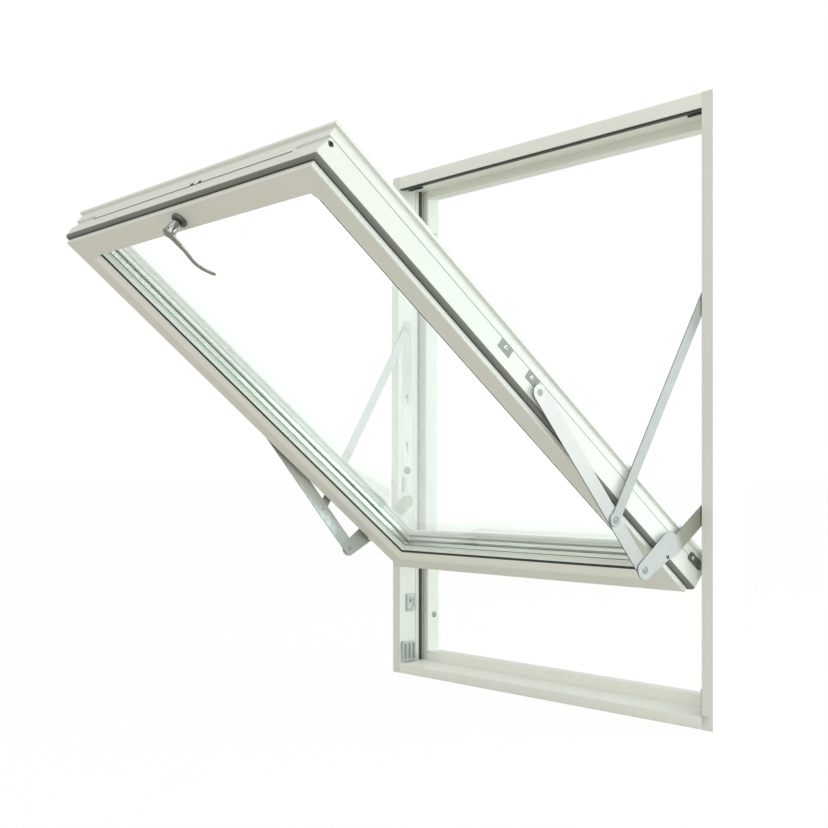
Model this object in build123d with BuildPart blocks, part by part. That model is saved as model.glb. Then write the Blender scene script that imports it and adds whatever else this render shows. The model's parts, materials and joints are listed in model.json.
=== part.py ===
"""Reversible pivot window: a fixed frame and a triple-glazed sash swung out and over on hinge arms."""

import os
from math import cos, radians, sin

from build123d import *

# Axes: X across the window, Y from outside to inside, Z up, all in millimetres.
# The origin is the middle of the sill's underside.

# Fixed frame
frame_width = 990.0
frame_height = 1190.0
frame_depth = 105.0
frame_lip = 27.0
frame_step = 19.0
head_lip = 29.0
head_step = 17.0
rebate_depth = 70.0
rebate_groove_setback = 48.0
rebate_groove_width = 1.5
rebate_groove_depth = 2.0
sill_nose = 22.0
sill_ledge = 28.0
sill_top = 50.0
frame_round = 2.5

# Fixing holes through the jambs
fixing_drop = 134.0
fixing_spacing = 920.0
fixing_depth = 90.0
fixing_bore = 8.0
fixing_plug = 14.0
fixing_plug_depth = 12.0

# Frame gaskets: a bulb down each jamb, a wide drip seal behind the lip of the head
gasket_setback = 58.0
gasket_width = 8.0
gasket_proud = 3.0
drip_seal_setback = 1.0
drip_seal_width = 17.0
drip_seal_proud = 3.0
drip_seal_heel = 1.5

# Sash section, measured out from the room-side face
sash_side_gap = 3.0
sash_end_gap = 7.0
sash_thickness = 80.0
sash_tier = 18.0
sash_shoulder = 9.0
sash_round = 3.0
cladding_start = 54.5
flange_start = 73.0
flange_overhang = 6.0
cladding_face = 78.0
cladding_slope = 6.0
stile_face = 55.0
rail_face = 47.0
bevel_width = 10.0
bevel_depth = 20.0

# Triple glazing
glass_cover = 14.0
glass_clearance = 3.0
pane_thickness = 4.0
pane_gap = 12.0
spacer_inset = 6.0
spacer_width = 11.0
glazing_tape = 2.0
glazing_lip = 4.0

# Sash seal on the shoulder
seal_depth = 8.5
seal_clearance = 0.5
seal_lip = 3.0

# How far the sash is swung out and where it hangs
sash_swing = 129.4
guide_setback = 4.4
guide_along = 12.0
guide_depth = 56.0
pivot_height = 615.0
pivot_depth = 34.4
pivot_offset = -16.0

# Hinge arms, in layers between the sash and the jamb
layer_clearance = 0.2
arm_thickness = 2.5
arm_gap = 0.1
rivet_head = 1.2
rivet_head_radius = 7.0
rivet_radius = 4.0
rivet_clearance = 0.1
long_arm_setback = 24.0
long_arm_rise = 216.0
long_arm_width = 21.0
long_arm_eye = 13.0
short_arm_setback = 26.0
short_arm_drop = 198.0
short_arm_width = 31.0
short_arm_elbow = 128.0
short_arm_sag = 9.0
short_arm_blade = 130.0
short_arm_lift = 2.0
short_arm_blade_width = 46.0
short_arm_eye = 17.5
short_arm_hole = 4.0
short_arm_hole_along = 148.0
short_arm_hole_drop = 14.0
bar_pin_setback = -151.0
bar_pin_drop = 311.0
bar_pin_spacing = 119.0
bar_width = 29.0

# Hinge rail let into the jamb, with a joint cover, a stop and a buffer on its face
rail_overlap_top = 20.0
rail_overlap_bottom = 29.0
rail_setback = 13.0
rail_width = 27.0
rail_thickness = 3.0
rail_proud = 0.5
rail_slot_length = 22.0
rail_slot_width = 6.0
rail_slot_rise = 50.0
rail_slot_drop = 66.0
rail_cover_rise = 161.0
rail_cover_length = 41.0
rail_cover_width = 22.0
rail_cover_proud = 0.8
rail_stop_drop = 157.0
rail_stop_length = 36.0
rail_stop_width = 9.0
rail_stop_proud = 4.0
buffer_drop = 123.0
buffer_radius = 6.0
buffer_proud = 5.0

# Pivot plates let into the sash stile: a boss at the pivot and two plates above it
pivot_plate_length = 32.0
pivot_plate_width = 17.0
pivot_plate_thickness = 2.0
pivot_plate_depth = 45.5
pivot_plate_spacing = 78.0
pivot_plate_lead = 22.0
pivot_boss_radius = 9.0

# Guide shoe at the sash's top corners
shoe_length = 40.0
shoe_width = 16.0
shoe_round = 4.0
shoe_thickness = 3.0
shoe_lead = 8.0
roller_radius = 6.0
track_gap = 0.7

# Keeps and catches on the frame
keep_thickness = 6.5
keep_floor = 1.5
keep_bottom = 27.0
keep_height = 48.0
keep_setback = 4.5
keep_width = 39.0
keep_slot_pitch = 12.0
keep_slot_width = 6.0
keep_rim = 6.0
catch_bottom = 147.0
catch_height = 42.0
catch_setback = 19.0
catch_width = 25.0
catch_thickness = 5.0
catch_hole = 4.0
catch_hole_rise = 5.0
catch_hole_shift = 4.0
catch_hook_height = 18.0
catch_hook_width = 6.0
catch_hook_proud = 3.0
head_keep_length = 48.0
head_keep_width = 8.0
head_keep_setback = 20.0
head_keep_gap = 8.0
head_keep_thickness = 3.5
head_keep_notch = 8.0

# Espagnolette in the edge of the handle rail: groove, face plate and corner plates
bolt_groove_start = 38.0
bolt_groove_depth = 4.0
bolt_plate_recess = 0.5
bolt_plate_gap = 1.2
bolt_plate_end = 18.0
bolt_slot_length = 14.0
bolt_slot_width = 4.0
bolt_slot_pitch = 28.0
bolt_slot_shift = 48.0
corner_plate_length = 27.0
corner_plate_thickness = 2.0
corner_slot_length = 12.0
corner_slot_width = 4.0
corner_slot_inset = 7.0

# Handle
rose_radius = 15.0
rose_thickness = 7.0
neck_radius = 9.0
lever_reach = 113.0
lever_rise = 38.0
lever_dip = 3.0
lever_dip_along = 44.0
lever_crest = 1.0
lever_crest_along = 68.0
lever_drop = 13.0
lever_width = 13.0
lever_thickness = 7.0
lever_tip_thickness = 5.0
lever_bevel = 1.5
handle_gap = 0.3

# Values that follow from the sizes above
half_width = frame_width / 2
half_depth = frame_depth / 2
front = -half_depth
rebate_wall = half_width - frame_lip
reveal = rebate_wall - frame_step
step_face = front + rebate_depth
head_rebate = frame_height - head_lip
head_reveal = head_rebate - head_step

sash_half = reveal - sash_side_gap
sash_length = head_reveal - sill_top - 2 * sash_end_gap
body_half = sash_half + sash_shoulder
flange_half = body_half + flange_overhang

tilt = radians(sash_swing - 90)
guide_y = front + guide_setback
far_y = guide_y + guide_along * cos(tilt) - guide_depth * sin(tilt)
pivot_along = sash_length / 2 + pivot_offset
far_z = pivot_height - pivot_along * sin(tilt) - pivot_depth * cos(tilt)
sash_plane = Plane(origin=(0, far_y, far_z), x_dir=(1, 0, 0), z_dir=(0, -sin(tilt), -cos(tilt)))
sash_middle = sash_length / 2

sight_half = sash_half - stile_face
sight_length = sash_length - 2 * rail_face
bevel_half = sight_half - bevel_width
bevel_length = sight_length - 2 * bevel_width
glass_half = bevel_half + glass_cover
glass_length = bevel_length + 2 * glass_cover
pocket_half = glass_half + glass_clearance
pocket_length = glass_length + 2 * glass_clearance
cladding_half = flange_half - cladding_face
flange_length = sash_length + 2 * (sash_shoulder + flange_overhang)
cladding_length = flange_length - 2 * cladding_face
glass_start = bevel_depth + glazing_tape
glass_depth = 3 * pane_thickness + 2 * pane_gap
glass_end = glass_start + glass_depth

bar_inner = flange_half + layer_clearance
bar_outer = bar_inner + arm_thickness
arm_inner = bar_outer + arm_gap
arm_outer = arm_inner + arm_thickness
rail_face_x = rebate_wall - rail_proud


def on_sash(along, depth):
    """World Y and Z of a point on the sash, from its closed-top edge and its room-side face."""
    y = far_y - along * cos(tilt) + depth * sin(tilt)
    z = far_z + along * sin(tilt) + depth * cos(tilt)
    return y, z


def at_depth(depth):
    """The sash plane moved out from the room-side face."""
    return sash_plane.offset(-depth)


def save(builder, name):
    """Label a finished piece and write it."""
    builder.part.label = name
    export_step(builder.part, f"parts/{name}.step")


def save_pair(builder, name):
    """Write a right-hand piece and its left-hand mirror image."""
    save(builder, f"{name}_right")
    with BuildPart() as left:
        mirror(builder.part, about=Plane.YZ)
    save(left, f"{name}_left")


def across_sash(along):
    """The plane across the sash at a distance from its closed-top edge, facing the closed bottom."""
    y, z = on_sash(along, 0)
    return Plane(origin=(0, y, z), x_dir=(1, 0, 0), z_dir=(0, -cos(tilt), sin(tilt)))


def mitre_plane(end, left=False):
    """The mitre at a flange corner, facing the side; end is -1 at the closed top and 1 at the bottom."""
    y, z = on_sash(sash_middle + end * flange_length / 2, 0)
    side = -1 if left else 1
    return Plane(origin=(side * flange_half, y, z), z_dir=(side, end * cos(tilt), -end * sin(tilt)))


os.makedirs("parts", exist_ok=True)

long_pivot = (front + long_arm_setback, pivot_height + long_arm_rise)
short_pivot = (front + short_arm_setback, pivot_height - short_arm_drop)
bar_end = (front + bar_pin_setback, pivot_height - bar_pin_drop)
sash_pivot = on_sash(pivot_along, pivot_depth)
bar_run = Vector(*sash_pivot) - Vector(*bar_end)
bar_joint_point = Vector(*bar_end) + bar_run.normalized() * bar_pin_spacing
bar_joint = (bar_joint_point.X, bar_joint_point.Y)
guide_point = on_sash(guide_along, guide_depth)
shoe_middle = on_sash(guide_along - shoe_lead + shoe_length / 2, guide_depth)
lower_plate = on_sash(pivot_along + pivot_plate_lead, pivot_plate_depth)
upper_plate = on_sash(pivot_along + pivot_plate_lead + pivot_plate_spacing, pivot_plate_depth)
sash_slope = 90 - sash_swing

arm_run = Vector(*bar_end) - Vector(*short_pivot)
short_arm_length = arm_run.length
short_arm_plane = Plane(
    origin=(arm_inner, *short_pivot),
    x_dir=(0, arm_run.X, arm_run.Y),
    z_dir=(1, 0, 0),
)

rail_bottom = short_pivot[1] - rail_overlap_bottom
rail_top = long_pivot[1] + rail_overlap_top
rail_middle = (rail_bottom + rail_top) / 2
rail_y = front + rail_setback + rail_width / 2

bolt_plane = across_sash(sash_length + sash_shoulder)
bolt_groove_width = cladding_start - bolt_groove_start
bolt_plate_width = bolt_groove_width - bolt_plate_gap
bolt_plate_length = 2 * (bevel_half - bolt_plate_end)
bolt_plate_middle = cladding_start - bolt_plate_width / 2
corner_end = sash_length + sash_shoulder - bolt_groove_depth
corner_middle = on_sash(corner_end - corner_plate_length / 2, (bolt_groove_start + cladding_start) / 2)
corner_slot = on_sash(corner_end - corner_slot_inset, (bolt_groove_start + cladding_start) / 2)
handle_y, handle_z = on_sash(sash_length - rail_face / 2, 0)
handle_plane = Plane(origin=(0, handle_y, handle_z), x_dir=(1, 0, 0), z_dir=sash_plane.z_dir)
lever_plane = Plane(origin=(0, handle_y, handle_z), x_dir=(0, cos(tilt), -sin(tilt)), z_dir=(-1, 0, 0))


# Frame members

with BuildPart() as jamb:
    with BuildSketch() as jamb_section:
        with BuildLine():
            Polyline(
                (rebate_wall, front),
                (half_width, front),
                (half_width, half_depth),
                (reveal, half_depth),
                (reveal, step_face),
                (rebate_wall, step_face),
                close=True,
            )
        make_face()
        fillet(jamb_section.vertices().group_by(Axis.X)[0], radius=frame_round)
        with Locations((rebate_wall, front + rebate_groove_setback)):
            Rectangle(2 * rebate_groove_depth, rebate_groove_width, mode=Mode.SUBTRACT)
    extrude(amount=frame_height)
    with BuildSketch(Plane.YZ.offset(rebate_wall)):
        with Locations((rail_y, rail_middle)):
            Rectangle(rail_width, rail_top - rail_bottom)
    extrude(amount=rail_thickness - rail_proud, mode=Mode.SUBTRACT)
    with Locations(Plane.YZ.offset(reveal)):
        with Locations(
            (front + fixing_depth, frame_height - fixing_drop),
            (front + fixing_depth, frame_height - fixing_drop - fixing_spacing),
        ):
            Cylinder(
                fixing_bore / 2,
                half_width - reveal,
                align=(Align.CENTER, Align.CENTER, Align.MIN),
                mode=Mode.SUBTRACT,
            )
            Cylinder(
                fixing_plug / 2,
                fixing_plug_depth,
                align=(Align.CENTER, Align.CENTER, Align.MIN),
                mode=Mode.SUBTRACT,
            )
save_pair(jamb, "frame_jamb")

with BuildPart() as head:
    with BuildSketch(Plane.YZ):
        with BuildLine():
            Polyline(
                (front, head_rebate),
                (front, frame_height),
                (half_depth, frame_height),
                (half_depth, head_reveal),
                (step_face, head_reveal),
                (step_face, head_rebate),
                close=True,
            )
        make_face()
    extrude(amount=reveal, both=True)
    with BuildSketch(Plane.YZ):
        with BuildLine():
            Polyline(
                (front, head_rebate),
                (front, frame_height),
                (step_face, frame_height),
                (step_face, head_rebate),
                close=True,
            )
        make_face()
    extrude(amount=rebate_wall, both=True)
save(head, "frame_head")

with BuildPart() as sill:
    with BuildSketch(Plane.YZ):
        with BuildLine():
            Polyline(
                (front, 0),
                (half_depth, 0),
                (half_depth, sill_top),
                (step_face, sill_top),
                (step_face, sill_ledge),
                (front, sill_nose),
                close=True,
            )
        make_face()
    extrude(amount=reveal, both=True)
    with BuildSketch(Plane.YZ):
        with BuildLine():
            Polyline((front, 0), (step_face, 0), (step_face, sill_ledge), (front, sill_nose), close=True)
        make_face()
    extrude(amount=rebate_wall, both=True)
save(sill, "frame_sill")

gasket_y = front + gasket_setback
with BuildPart() as jamb_gasket:
    with BuildSketch(Plane.XY.offset(sill_ledge)):
        with BuildLine():
            Polyline(
                (rebate_wall, gasket_y + gasket_width),
                (rebate_wall, gasket_y),
                (rebate_wall - gasket_proud / 2, gasket_y),
            )
            TangentArc(
                (rebate_wall - gasket_proud / 2, gasket_y),
                (rebate_wall - gasket_proud, gasket_y + gasket_width),
                tangent=(-1, 0),
            )
            Line(
                (rebate_wall - gasket_proud, gasket_y + gasket_width),
                (rebate_wall, gasket_y + gasket_width),
            )
        make_face()
    extrude(amount=head_rebate - sill_ledge)
save_pair(jamb_gasket, "frame_gasket")

drip_y = front + drip_seal_setback

with BuildPart() as head_gasket:
    with BuildSketch(Plane.YZ):
        with BuildLine():
            Polyline(
                (drip_y, head_rebate),
                (drip_y + drip_seal_width, head_rebate),
                (drip_y + drip_seal_width, head_rebate - drip_seal_heel),
                (drip_y, head_rebate - drip_seal_proud),
                close=True,
            )
        make_face()
    extrude(amount=rebate_wall, both=True)
save(head_gasket, "frame_gasket_head")


# Sash: the whole timber ring, then its four members

with BuildPart() as timber_ring:
    with BuildSketch(at_depth(cladding_start)):
        with Locations((0, sash_middle)):
            Rectangle(2 * body_half, sash_length + 2 * sash_shoulder)
    extrude(amount=cladding_start - sash_tier)
    with BuildSketch(at_depth(sash_tier)):
        with Locations((0, sash_middle)):
            Rectangle(2 * sash_half, sash_length)
    extrude(amount=sash_tier)
    with BuildSketch(at_depth(cladding_start)):
        with Locations((0, sash_middle)):
            Rectangle(2 * pocket_half, pocket_length)
    extrude(amount=cladding_start - bevel_depth, mode=Mode.SUBTRACT)
    with BuildSketch(at_depth(bevel_depth)):
        with Locations((0, sash_middle)):
            Rectangle(2 * bevel_half, bevel_length)
    with BuildSketch(sash_plane):
        with Locations((0, sash_middle)):
            Rectangle(2 * sight_half, sight_length)
    loft(mode=Mode.SUBTRACT)
    room_face = timber_ring.faces().sort_by(Axis((0, far_y, far_z), sash_plane.z_dir))[-1]
    fillet(room_face.edges(), radius=sash_round)
    with BuildSketch(bolt_plane):
        with Locations((0, (bolt_groove_start + cladding_start) / 2)):
            Rectangle(2 * body_half, bolt_groove_width)
    extrude(amount=-bolt_groove_depth, mode=Mode.SUBTRACT)

with BuildPart() as stile:
    add(timber_ring.part)
    split(bisect_by=Plane.YZ.offset(bevel_half), keep=Keep.TOP)
    with BuildSketch(Plane.YZ.offset(body_half)):
        with Locations(Location(lower_plate, sash_slope), Location(upper_plate, sash_slope)):
            Rectangle(pivot_plate_length, pivot_plate_width)
    extrude(amount=-pivot_plate_thickness, mode=Mode.SUBTRACT)
    with BuildSketch(Plane.YZ.offset(body_half)):
        with Locations(Location(corner_middle, sash_slope)):
            Rectangle(corner_plate_length, bolt_groove_width)
    extrude(amount=-corner_plate_thickness, mode=Mode.SUBTRACT)
save_pair(stile, "sash_stile")

with BuildPart() as top_rail:
    add(timber_ring.part)
    split(bisect_by=Plane.YZ.offset(bevel_half), keep=Keep.BOTTOM)
    split(bisect_by=Plane.YZ.offset(-bevel_half), keep=Keep.TOP)
    split(bisect_by=across_sash(sash_middle), keep=Keep.BOTTOM)
save(top_rail, "sash_top_rail")

with BuildPart() as bottom_rail:
    add(timber_ring.part)
    split(bisect_by=Plane.YZ.offset(bevel_half), keep=Keep.BOTTOM)
    split(bisect_by=Plane.YZ.offset(-bevel_half), keep=Keep.TOP)
    split(bisect_by=across_sash(sash_middle), keep=Keep.TOP)
save(bottom_rail, "sash_bottom_rail")

with BuildPart() as bolt_plate:
    with BuildSketch(bolt_plane.offset(-bolt_groove_depth)):
        with Locations((0, bolt_plate_middle)):
            Rectangle(bolt_plate_length, bolt_plate_width)
        with Locations((bolt_slot_shift, bolt_plate_middle)):
            with GridLocations(bolt_slot_pitch, 0, 2, 1):
                Rectangle(bolt_slot_length, bolt_slot_width, mode=Mode.SUBTRACT)
    extrude(amount=bolt_groove_depth - bolt_plate_recess)
    with BuildSketch(Plane.YZ.offset(body_half)):
        with Locations(Location(corner_middle, sash_slope)):
            Rectangle(corner_plate_length, bolt_groove_width)
        with Locations(Location(corner_slot, sash_slope)):
            Rectangle(corner_slot_length, corner_slot_width, mode=Mode.SUBTRACT)
    corner_plate = extrude(amount=-corner_plate_thickness)
    mirror(corner_plate, about=Plane.YZ)
save(bolt_plate, "bolt_plate")

with BuildPart() as seal:
    with BuildSketch(at_depth(sash_tier)):
        with Locations((0, sash_middle)):
            Rectangle(2 * (body_half - seal_clearance), sash_length + 2 * (sash_shoulder - seal_clearance))
            Rectangle(2 * sash_half, sash_length, mode=Mode.SUBTRACT)
    extrude(amount=seal_depth)
    room_side = seal.faces().sort_by(Axis((0, far_y, far_z), sash_plane.z_dir))[-1]
    outer_edges = room_side.outer_wire().edges()
    chamfer(outer_edges, length=seal_depth - seal_lip, length2=seal_lip, reference=room_side)
save(seal, "sash_seal")


# Outside cladding: the whole ring, then its four mitred lengths

with BuildPart() as cladding_ring:
    with BuildSketch(at_depth(flange_start)):
        with Locations((0, sash_middle)):
            Rectangle(2 * body_half, sash_length + 2 * sash_shoulder)
    extrude(amount=flange_start - cladding_start)
    with BuildSketch(at_depth(sash_thickness)):
        with Locations((0, sash_middle)):
            Rectangle(2 * flange_half, flange_length)
    extrude(amount=sash_thickness - flange_start)
    with BuildSketch(at_depth(glass_end + glazing_tape)):
        with Locations((0, sash_middle)):
            Rectangle(2 * pocket_half, pocket_length)
    extrude(amount=glass_end + glazing_tape - cladding_start, mode=Mode.SUBTRACT)
    with BuildSketch(at_depth(sash_thickness)):
        with Locations((0, sash_middle)):
            Rectangle(2 * (cladding_half + cladding_slope), cladding_length + 2 * cladding_slope)
    with BuildSketch(at_depth(glass_end + glazing_tape)):
        with Locations((0, sash_middle)):
            Rectangle(2 * cladding_half, cladding_length)
    loft(mode=Mode.SUBTRACT)

with BuildPart() as side_cladding:
    add(cladding_ring.part)
    split(bisect_by=mitre_plane(-1), keep=Keep.TOP)
    split(bisect_by=mitre_plane(1), keep=Keep.TOP)
save_pair(side_cladding, "sash_cladding")

for end, name in ((-1, "sash_cladding_top"), (1, "sash_cladding_bottom")):
    with BuildPart() as end_cladding:
        add(cladding_ring.part)
        split(bisect_by=across_sash(sash_middle), keep=Keep.TOP if end > 0 else Keep.BOTTOM)
        split(bisect_by=mitre_plane(end), keep=Keep.BOTTOM)
        split(bisect_by=mitre_plane(end, left=True), keep=Keep.BOTTOM)
    save(end_cladding, name)


# Triple glazing

for number, name in enumerate(("glass_inner", "glass_middle", "glass_outer")):
    with BuildPart() as pane:
        with BuildSketch(at_depth(glass_start + number * (pane_thickness + pane_gap) + pane_thickness)):
            with Locations((0, sash_middle)):
                Rectangle(2 * glass_half, glass_length)
        extrude(amount=pane_thickness)
    save(pane, name)

for number, name in enumerate(("spacer_inner", "spacer_outer")):
    with BuildPart() as spacer:
        with BuildSketch(at_depth(glass_start + (number + 1) * (pane_thickness + pane_gap))):
            with Locations((0, sash_middle)):
                Rectangle(2 * (glass_half - spacer_inset), glass_length - 2 * spacer_inset)
                Rectangle(
                    2 * (glass_half - spacer_inset - spacer_width),
                    glass_length - 2 * (spacer_inset + spacer_width),
                    mode=Mode.SUBTRACT,
                )
        extrude(amount=pane_gap)
    save(spacer, name)

with BuildPart() as glazing_gasket:
    with BuildSketch(at_depth(glass_start)):
        with Locations((0, sash_middle)):
            Rectangle(2 * glass_half, glass_length)
            Rectangle(
                2 * (bevel_half - glazing_lip),
                bevel_length - 2 * glazing_lip,
                mode=Mode.SUBTRACT,
            )
    extrude(amount=glazing_tape)
save(glazing_gasket, "glazing_gasket")

with BuildPart() as outer_tape:
    with BuildSketch(at_depth(glass_end + glazing_tape)):
        with Locations((0, sash_middle)):
            Rectangle(2 * glass_half, glass_length)
            Rectangle(2 * cladding_half, cladding_length, mode=Mode.SUBTRACT)
    extrude(amount=glazing_tape)
save(outer_tape, "glazing_tape")


# Hinge on each side: rail on the jamb, two arms, the bar between them and the sash

with BuildPart() as hinge_rail:
    with BuildSketch(Plane.YZ.offset(rail_face_x)):
        with Locations((rail_y, rail_middle)):
            Rectangle(rail_width, rail_top - rail_bottom)
        with Locations((rail_y, pivot_height + rail_slot_rise), (rail_y, pivot_height - rail_slot_drop)):
            Rectangle(rail_slot_width, rail_slot_length, mode=Mode.SUBTRACT)
    extrude(amount=rail_thickness)
    with BuildSketch(Plane.YZ.offset(rail_face_x)):
        with Locations((rail_y + (rail_width - rail_cover_width) / 2, pivot_height + rail_cover_rise)):
            Rectangle(rail_cover_width, rail_cover_length)
    extrude(amount=-rail_cover_proud)
    with BuildSketch(Plane.YZ.offset(rail_face_x)):
        with Locations((rail_y - (rail_width - rail_stop_width) / 2, pivot_height - rail_stop_drop)):
            Rectangle(rail_stop_width, rail_stop_length)
    extrude(amount=-rail_stop_proud)
    with BuildSketch(Plane.YZ.offset(rail_face_x)):
        with Locations((rail_y, pivot_height - buffer_drop)):
            Circle(buffer_radius)
    extrude(amount=-buffer_proud)
save_pair(hinge_rail, "hinge_rail")

with BuildPart() as long_arm:
    with BuildSketch(Plane.YZ.offset(arm_inner)):
        with Locations(long_pivot, bar_joint):
            Circle(long_arm_width / 2)
        make_hull()
        with Locations(bar_joint):
            Circle(long_arm_eye)
        with Locations(long_pivot, bar_joint):
            Circle(rivet_radius, mode=Mode.SUBTRACT)
    extrude(amount=arm_thickness)
save_pair(long_arm, "long_arm")

with BuildPart() as short_arm:
    with BuildSketch(short_arm_plane):
        with Locations((0, 0), (short_arm_elbow, short_arm_sag)):
            Circle(short_arm_width / 2)
        make_hull()
    extrude(amount=arm_thickness)
    with BuildSketch(short_arm_plane):
        with Locations((short_arm_blade, -short_arm_lift)):
            Circle(short_arm_blade_width / 2)
        with Locations((short_arm_length, 0)):
            Circle(short_arm_eye)
        make_hull()
    extrude(amount=arm_thickness)
    with BuildSketch(short_arm_plane):
        with Locations((0, 0), (short_arm_length, 0)):
            Circle(rivet_radius)
        with Locations((short_arm_hole_along, short_arm_hole_drop)):
            Circle(short_arm_hole)
    extrude(amount=arm_thickness, mode=Mode.SUBTRACT)
save_pair(short_arm, "short_arm")

with BuildPart() as carrier_bar:
    with BuildSketch(Plane.YZ.offset(bar_inner)):
        with Locations(sash_pivot, bar_end):
            Circle(bar_width / 2)
        make_hull()
        with Locations(sash_pivot, bar_joint, bar_end):
            Circle(rivet_radius, mode=Mode.SUBTRACT)
    extrude(amount=arm_thickness)
save_pair(carrier_bar, "carrier_bar")

with BuildPart() as pivot_plate:
    with BuildSketch(Plane.YZ.offset(body_half)):
        with Locations(Location(lower_plate, sash_slope), Location(upper_plate, sash_slope)):
            Rectangle(pivot_plate_length, pivot_plate_width)
    extrude(amount=-pivot_plate_thickness)
    with BuildSketch(Plane.YZ.offset(body_half)):
        with Locations(sash_pivot):
            Circle(pivot_boss_radius)
    extrude(amount=bar_inner - body_half)
save_pair(pivot_plate, "pivot_plate")

shaft_radius = rivet_radius - rivet_clearance
with BuildPart() as rivets:
    with BuildSketch(Plane.YZ.offset(bar_inner)):
        with Locations(sash_pivot):
            Circle(shaft_radius)
    extrude(amount=arm_thickness)
    with BuildSketch(Plane.YZ.offset(bar_outer)):
        with Locations(sash_pivot):
            Circle(rivet_head_radius)
    extrude(amount=rivet_head)
    with BuildSketch(Plane.YZ.offset(bar_inner)):
        with Locations(bar_joint, bar_end):
            Circle(shaft_radius)
    extrude(amount=arm_outer - bar_inner)
    with BuildSketch(Plane.YZ.offset(arm_outer)):
        with Locations(bar_joint, bar_end):
            Circle(rivet_head_radius)
    extrude(amount=rivet_head)
    with BuildSketch(Plane.YZ.offset(arm_inner)):
        with Locations(long_pivot, short_pivot):
            Circle(shaft_radius)
    extrude(amount=rail_face_x - arm_inner)
    with BuildSketch(Plane.YZ.offset(arm_inner)):
        with Locations(long_pivot, short_pivot):
            Circle(rivet_head_radius)
    extrude(amount=-rivet_head)
save_pair(rivets, "hinge_rivets")

with BuildPart() as guide_shoe:
    with BuildSketch(Plane.YZ.offset(body_half)):
        with Locations(Location(shoe_middle, sash_slope)):
            RectangleRounded(shoe_length, shoe_width, shoe_round)
    extrude(amount=shoe_thickness)
    with BuildSketch(Plane.YZ.offset(body_half)):
        with Locations(guide_point):
            Circle(roller_radius)
    extrude(amount=rebate_wall - track_gap - body_half)
save_pair(guide_shoe, "guide_shoe")


# Keeps and catches on the frame

with BuildPart() as lock_keep:
    with BuildSketch(Plane.YZ.offset(rebate_wall)):
        with Locations((front + keep_setback + keep_width / 2, keep_bottom + keep_height / 2)):
            Rectangle(keep_width, keep_height)
    extrude(amount=-keep_thickness)
    with BuildSketch(Plane.YZ.offset(rebate_wall - keep_thickness)):
        with Locations((front + keep_setback + keep_width / 2, keep_bottom + keep_height / 2)):
            with GridLocations(keep_slot_pitch, 0, 3, 1):
                Rectangle(keep_slot_width, keep_height - 2 * keep_rim)
    extrude(amount=keep_thickness - keep_floor, mode=Mode.SUBTRACT)
save_pair(lock_keep, "lock_keep")

catch_hook_y = front + catch_setback + catch_width - catch_hook_width / 2
with BuildPart() as restrictor_catch:
    with BuildSketch(Plane.YZ.offset(rebate_wall)):
        with Locations((front + catch_setback + catch_width / 2, catch_bottom + catch_height / 2)):
            Rectangle(catch_width, catch_height)
            with Locations((-catch_hole_shift, catch_hole_rise)):
                Circle(catch_hole, mode=Mode.SUBTRACT)
    extrude(amount=-catch_thickness)
    with BuildSketch(Plane.YZ.offset(rebate_wall - catch_thickness)):
        with Locations((catch_hook_y, catch_bottom + catch_height / 2)):
            Rectangle(catch_hook_width, catch_hook_height)
    extrude(amount=-catch_hook_proud)
save_pair(restrictor_catch, "restrictor_catch")

head_keep_y = front + head_keep_setback + head_keep_width / 2
with BuildPart() as head_keep:
    with BuildSketch(Plane.XY.offset(head_rebate)):
        with Locations((rebate_wall - head_keep_gap - head_keep_length / 2, head_keep_y)):
            Rectangle(head_keep_length, head_keep_width)
            with Locations((-head_keep_length / 2, -head_keep_width / 2)):
                Rectangle(2 * head_keep_notch, head_keep_notch, mode=Mode.SUBTRACT)
    extrude(amount=-head_keep_thickness)
save_pair(head_keep, "head_keep")


# Handle on the sash's bottom rail

with BuildPart() as rose:
    with BuildSketch(handle_plane):
        Circle(rose_radius)
    extrude(amount=rose_thickness)
save(rose, "handle_rose")

with BuildPart() as lever:
    with BuildSketch(lever_plane):
        with BuildLine():
            upper = Spline(
                (0, lever_rise + lever_thickness / 2),
                (lever_dip_along, lever_rise - lever_dip + lever_thickness / 2),
                (lever_crest_along, lever_rise - lever_crest + lever_thickness / 2),
                (lever_reach, lever_rise - lever_drop + lever_tip_thickness / 2),
            )
            lower = Spline(
                (0, lever_rise - lever_thickness / 2),
                (lever_dip_along, lever_rise - lever_dip - lever_thickness / 2),
                (lever_crest_along, lever_rise - lever_crest - lever_thickness / 2),
                (lever_reach, lever_rise - lever_drop - lever_tip_thickness / 2),
            )
            Line(upper @ 0, lower @ 0)
            Line(upper @ 1, lower @ 1)
        make_face()
    extrude(amount=lever_width / 2, both=True)
    chamfer(lever.edges().filter_by(GeomType.BSPLINE), length=lever_bevel)
    with BuildSketch(handle_plane.offset(rose_thickness + handle_gap)):
        Circle(neck_radius)
    extrude(amount=lever_rise + lever_thickness / 2 - rose_thickness - handle_gap)
save(lever, "handle_lever")
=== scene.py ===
"""Looks of a reversible pivot window: finishes, softened edges, seals, fasteners, glass and handle."""

import functools
import json
import logging
import math
from dataclasses import dataclass, field
from enum import Enum, IntEnum
from typing import Callable, Iterable, Sequence

import bmesh
import bpy
from bmesh.types import BMesh
from bpy.types import Material, Mesh, Node, NodeSocket, NodeTree, Object, World
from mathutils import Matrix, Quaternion, Vector


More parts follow.
